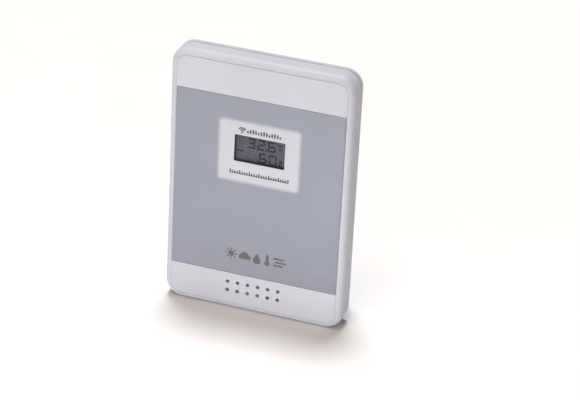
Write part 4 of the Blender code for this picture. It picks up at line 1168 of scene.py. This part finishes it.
class SENSOR_OT_cells(SensorOperator):
    """Builds the two cells and their springs, and finishes their contacts"""

    bl_idname = "sensor.cells"
    bl_label = "Cells and Contacts"

    def build(self, sizes, finishes):
        steel = bare_metal("cell_steel", (0.66, 0.66, 0.64), 0.3)
        washer = plain_part("cell_washer", (0.05, 0.05, 0.05), 0.5)
        for number, (cell, side) in enumerate(zip(CELLS, (1, -1)), start=1):
            minus_x, plus_x = (cell.x0, cell.x1)[::side]
            bm = turned(self.cell_profile(cell), "x", (0.0, 0.0, 0.0), 56)
            turn = Matrix.Rotation(0.0 if side > 0 else math.pi, 4, "Z")
            bm.transform(Matrix.Translation((minus_x, cell.y, cell.z)) @ turn)
            piece = as_object(f"battery_{number}", bm)
            jacket = cell_jacket(f"battery_jacket_{number}", finishes.jacket, finishes.band, plus_x, side)
            for material in (jacket, steel, washer):
                piece.data.materials.append(material)
            for face in piece.data.polygons:
                centre = face.center / MM
                radius = math.hypot(centre.y - cell.y, centre.z - cell.z)
                to_plus = abs(centre.x - plus_x)
                if radius < 4.35 or to_plus < 1.0:
                    face.material_index = 2 if 2.2 < radius and to_plus < 2.0 else 1
            dress(piece, CASE, "battery_jacket", None, f"battery_{number}")
            self.add_spring(number, cell, -side)
        nickel = bare_metal("nickel_steel", (0.68, 0.67, 0.64), 0.26)
        for name in ("minus_terminal", "plus_terminal", "bridge_contact"):
            restyle(name, nickel, 0.08)

    def cell_profile(self, cell):
        """(radius, distance) from the minus end to the plus end."""
        radius = cell.height / 2
        run = cell.width
        rim = 0.6
        barrel = radius - rim
        shoulder = run - 1.1
        profile = [(3.0, 0.12), (3.4, 0.0), (4.3, 0.0), *bend(barrel, rim, rim, -rim, 4)[::-1]]
        profile += [*bend(barrel, shoulder - rim, rim, rim, 4), (4.2, shoulder), (4.1, shoulder - 0.25)]
        profile += [(2.3, shoulder - 0.2), (2.0, shoulder + 0.05), (1.9, shoulder + 0.2)]
        return profile + [(1.9, run - 0.2), (1.7, run)]

    def add_spring(self, number, cell, side):
        """A cone of wire that presses on a cell's minus end."""
        name = f"battery_spring_{number}"
        box = Span(name)
        turns = 3.25
        per_turn = 32
        wire_r = 0.3
        root_x = box.x0 if side < 0 else box.x1
        run = box.width - 2 * wire_r
        count = int(turns * per_turn)
        wire = bpy.data.curves.new(name, "CURVE")
        wire.dimensions = "3D"
        wire.bevel_depth = wire_r * MM
        wire.bevel_resolution = 4
        wire.use_fill_caps = True
        spline = wire.splines.new("POLY")
        spline.points.add(count)
        for i, point in enumerate(spline.points):
            share = i / count
            radius = 3.6 - 1.6 * share
            turn = 2 * math.pi * turns * share
            rise = max(0.0, share * 1.15 - 0.15)
            x = root_x - side * (wire_r + run * rise)
            y = CELLS[0].y + radius * math.cos(turn)
            z = cell.z + radius * math.sin(turn)
            point.co = (x * MM, y * MM, z * MM, 1.0)
        holder = link("wire", wire)
        mesh = evaluated_mesh(holder)
        bpy.data.objects.remove(holder)
        bpy.data.curves.remove(wire)
        steel = bare_metal(f"spring_steel_{number}", (0.64, 0.64, 0.62), 0.24)
        dress(link(name, mesh), CASE, "nickel_steel", steel, name, smooth_angle=60.0)


class SENSOR_OT_controls(SensorOperator):
    """Builds the two buttons and the channel knob, and finishes their switches"""

    bl_idname = "sensor.controls"
    bl_label = "Buttons and Switches"

    def build(self, sizes, finishes):
        for name, box in (("send_button", SEND), ("unit_button", UNIT)):
            rubber = moulded_plastic(f"{name}_grey", (0.20, 0.20, 0.22), 0.55, 0.01, 0.15)
            piece = as_object(name, turned(self.button_profile(box), "y", (box.x, 0.0, box.z), 48))
            dress(piece, name, "button_grey", rubber, name, smooth_angle=40.0)
        knob = as_object("channel_knob", block(KNOB.x0, KNOB.x1, KNOB.y0, KNOB.y1, KNOB.z0, KNOB.z1, 0.18))
        grooves = []
        for step in (-1, 0, 1):
            x = KNOB.x + step * 0.7
            depth = (KNOB.y1 - 0.4, KNOB.y1 + 0.5)
            grooves.append(block(x - 0.15, x + 0.15, *depth, KNOB.z0 - 0.5, KNOB.z1 + 0.5, 0.05))
        cut(knob, *grooves)
        black = moulded_plastic("knob_black", (0.018, 0.018, 0.02), 0.5, 0.01, 0.15)
        dress(knob, "channel_knob", "knob_black", black, "channel_knob", smooth_angle=40.0)
        tin = bare_metal("tinned_steel", (0.62, 0.62, 0.60), 0.32)
        for name in ("send_switch", "unit_switch", "channel_switch"):
            restyle(name, tin, 0.1)

    def button_profile(self, box):
        """A collar below the strip, a stem through it, and a dished top."""
        collar_top = STRIP_FLOOR - 1.35
        stem = 2.0
        fillet = 0.35
        dish = 0.12
        profile = [(2.6, box.y0), (2.7, box.y0 + 0.08), (2.7, collar_top - 0.08), (2.6, collar_top)]
        profile += [(stem + 0.05, collar_top), (stem, collar_top + 0.05)]
        profile += bend(stem - fillet, box.y1 - fillet, fillet, fillet, 6)
        return profile + [(1.2, box.y1 - dish * 0.6), (0.6, box.y1 - dish)]


class SENSOR_OT_boards(SensorOperator):
    """Finishes the boards and the parts on them, and the display's holder and strips"""

    bl_idname = "sensor.boards"
    bl_label = "Boards"

    def build(self, sizes, finishes):
        strip = zebra_silicone()
        tin = bare_metal("crystal_tin", (0.66, 0.66, 0.64), 0.25)
        for name, material in (
            ("lcd_holder", moulded_plastic("holder_white", (0.75, 0.75, 0.74), 0.5, 0.012)),
            ("contact_strip_lower", strip),
            ("contact_strip_upper", strip),
            ("main_board", circuit_board("board_green", (0.02, 0.13, 0.05))),
            ("radio_module", circuit_board("radio_green", (0.015, 0.09, 0.09))),
            ("processor_blob", plain_part("blob_black", (0.012, 0.012, 0.013), 0.3, 1.2, 0.03)),
            ("supply_capacitor", plain_part("capacitor_sleeve", (0.015, 0.02, 0.09), 0.35)),
            ("humidity_sensor", plain_part("sensor_white", (0.62, 0.62, 0.60), 0.5)),
            ("thermistor", plain_part("bead_black", (0.02, 0.02, 0.02), 0.3)),
            ("antenna_coil", bare_metal("antenna_copper", (0.80, 0.42, 0.26), 0.22)),
        ):
            restyle(name, material)
        for name in ("clock_crystal", "radio_resonator"):
            restyle(name, tin, 0.1)


class SENSOR_OT_fasteners(SensorOperator):
    """Builds the four case screws with their cross recess, and finishes the board screws"""

    bl_idname = "sensor.fasteners"
    bl_label = "Screws"

    def build(self, sizes, finishes):
        zinc = bare_metal("screw_steel", (0.60, 0.61, 0.62), 0.28)
        for number, box in enumerate(CASE_SCREWS, start=1):
            name = f"case_screw_{number}"
            radius = box.width / 2
            base = box.y1 - SCREW_HEAD_T
            profile = [(0.2, box.y0), (1.0, box.y0 + 1.0), (1.0, base)]
            profile += [(radius - 0.08, base), (radius, base + 0.08)]
            profile += bend(radius * 0.45, base + 0.5, radius * 0.55, SCREW_HEAD_T - 0.5, 7)
            screw = as_object(name, turned(profile, "y", (box.x, 0.0, box.z)))
            cut(screw, self.recess(box, 1.05, 0.2), self.recess(box, 0.2, 1.05))
            dress(screw, CASE, "screw_steel", zinc, name)
        for number in range(1, 4):
            restyle(f"board_screw_{number}", zinc)

    def recess(self, box, half_x, half_z):
        """One bar of the cross, narrower at its floor."""
        loops = []
        for share, y in ((0.62, box.y1 - 0.75), (1.0, box.y1 + 0.2)):
            corners = rectangle(-half_x * share, half_x * share, -half_z * share, half_z * share)
            loops.append([(box.x + x, y, box.z + z) for x, z in corners])
        return skin(loops)


class SENSOR_OT_stage(bpy.types.Operator):
    """Adds the pale floor, the soft studio lights and the camera"""

    bl_idname = "sensor.stage"
    bl_label = "Stage"
    bl_options = {"REGISTER", "UNDO"}

    def execute(self, context):
        self.add_floor(context.scene.sensor_finishes.floor)
        self.add_lights(context.scene)
        self.add_camera(context.scene)
        context.scene.view_settings.view_transform = "Standard"
        return {"FINISHED"}

    def add_floor(self, tone):
        """A wide round sheet just under the part."""
        bm = bmesh.new()
        bmesh.ops.create_circle(bm, cap_ends=True, radius=6.0 / MM, segments=96)
        bmesh.ops.translate(bm, vec=(0.0, 0.0, CAD_BOUNDS[0][2] / MM - 0.02), verts=bm.verts)
        floor = as_object("floor", bm)
        floor.data.materials.append(pale_floor(tone))

    def add_lights(self, scene):
        """Two overhead lights for the shadows, a broad one for the face and a low one for the floor."""
        world = bpy.data.worlds.new("studio")
        world.use_nodes = True
        background = world.node_tree.nodes["Background"]
        background.inputs["Color"].default_value = (1.0, 0.80, 0.68, 1.0)
        background.inputs["Strength"].default_value = 0.08
        scene.world = world
        for name, energy, tone, place in (
            ("overhead_back", 2.8, (0.96, 0.975, 1.0), (-0.08, 0.195, 1.0)),
            ("overhead_front", 0.65, (1.0, 0.82, 0.70), (-0.08, -0.33, 1.0)),
        ):
            sun = self.add_lamp(name, "SUN", energy, place).data
            sun.color = tone
            sun.angle = math.radians(18)
        for name, energy, size, place in (
            ("face_light", 21.5, (1.6, 1.0), (-0.6, -2.2, 0.25)),
            ("low_light", 0.062, (0.20, 0.018), (0.02, -0.13, 0.013)),
        ):
            lamp = self.add_lamp(name, "AREA", energy, place)
            lamp.data.shape = "RECTANGLE"
            lamp.data.size, lamp.data.size_y = size
            lamp.visible_glossy = name != "low_light"

    def add_lamp(self, name, kind, energy, place):
        """A light at a place, pointed at the middle of the part."""
        light = bpy.data.lights.new(name, kind)
        light.energy = energy
        lamp = link(name, light)
        middle = (Vector(CAD_BOUNDS[0]) + Vector(CAD_BOUNDS[1])) / 2
        lamp.location = place
        lamp.rotation_euler = (middle - Vector(place)).to_track_quat("-Z", "Y").to_euler()
        return lamp

    def add_camera(self, scene):
        stage = scene.sensor_stage
        target = Vector((stage.aim_side, CAD_BOUNDS[0][1], stage.aim_height))
        a, e = stage.azimuth, stage.elevation
        away = Vector((math.sin(a) * math.cos(e), -math.cos(a) * math.cos(e), math.sin(e)))
        level = Vector((math.cos(a), math.sin(a), 0.0))
        upright = away.cross(level)
        right = math.cos(stage.roll) * level + math.sin(stage.roll) * upright
        up = away.cross(right)
        lens = bpy.data.cameras.new("camera")
        lens.lens = stage.lens
        lens.clip_start = 0.01
        camera = link("camera", lens)
        turn = Matrix((right, up, away)).transposed().to_4x4()
        camera.matrix_world = Matrix.Translation(target + away * stage.distance) @ turn
        scene.camera = camera


OPERATORS = (
    SENSOR_OT_front_case,
    SENSOR_OT_face_label,
    SENSOR_OT_display,
    SENSOR_OT_rear_case,
    SENSOR_OT_battery_door,
    SENSOR_OT_stand,
    SENSOR_OT_cells,
    SENSOR_OT_controls,
    SENSOR_OT_boards,
    SENSOR_OT_fasteners,
    SENSOR_OT_stage,
)
GROUPS = {
    "sensor_sizes": SENSOR_PG_sizes,
    "sensor_finishes": SENSOR_PG_finishes,
    "sensor_stage": SENSOR_PG_stage,
}


class SENSOR_PT_build(bpy.types.Panel):
    """Lists the sensor's sizes, finishes and building steps"""

    bl_idname = "SENSOR_PT_build"
    bl_label = "Outdoor Sensor"
    bl_space_type = "VIEW_3D"
    bl_region_type = "UI"
    bl_category = "Sensor"

    def draw(self, context):
        layout = self.layout
        for operator in OPERATORS:
            layout.operator(operator.bl_idname)
        for key in GROUPS:
            group = getattr(context.scene, key)
            box = layout.box()
            box.label(text=key.replace("_", " ").capitalize())
            for name in group.__annotations__:
                box.prop(group, name)


CLASSES = (*GROUPS.values(), *OPERATORS, SENSOR_PT_build)


def register():
    for cls in CLASSES:
        bpy.utils.register_class(cls)
    for key, group in GROUPS.items():
        setattr(bpy.types.Scene, key, bpy.props.PointerProperty(type=group))


def unregister():
    for key in GROUPS:
        delattr(bpy.types.Scene, key)
    for cls in reversed(CLASSES):
        bpy.utils.unregister_class(cls)


def main():
    register()
    for operator in OPERATORS:
        group, name = operator.bl_idname.split(".")
        getattr(getattr(bpy.ops, group), name)()


if __name__ == "__main__":
    main()
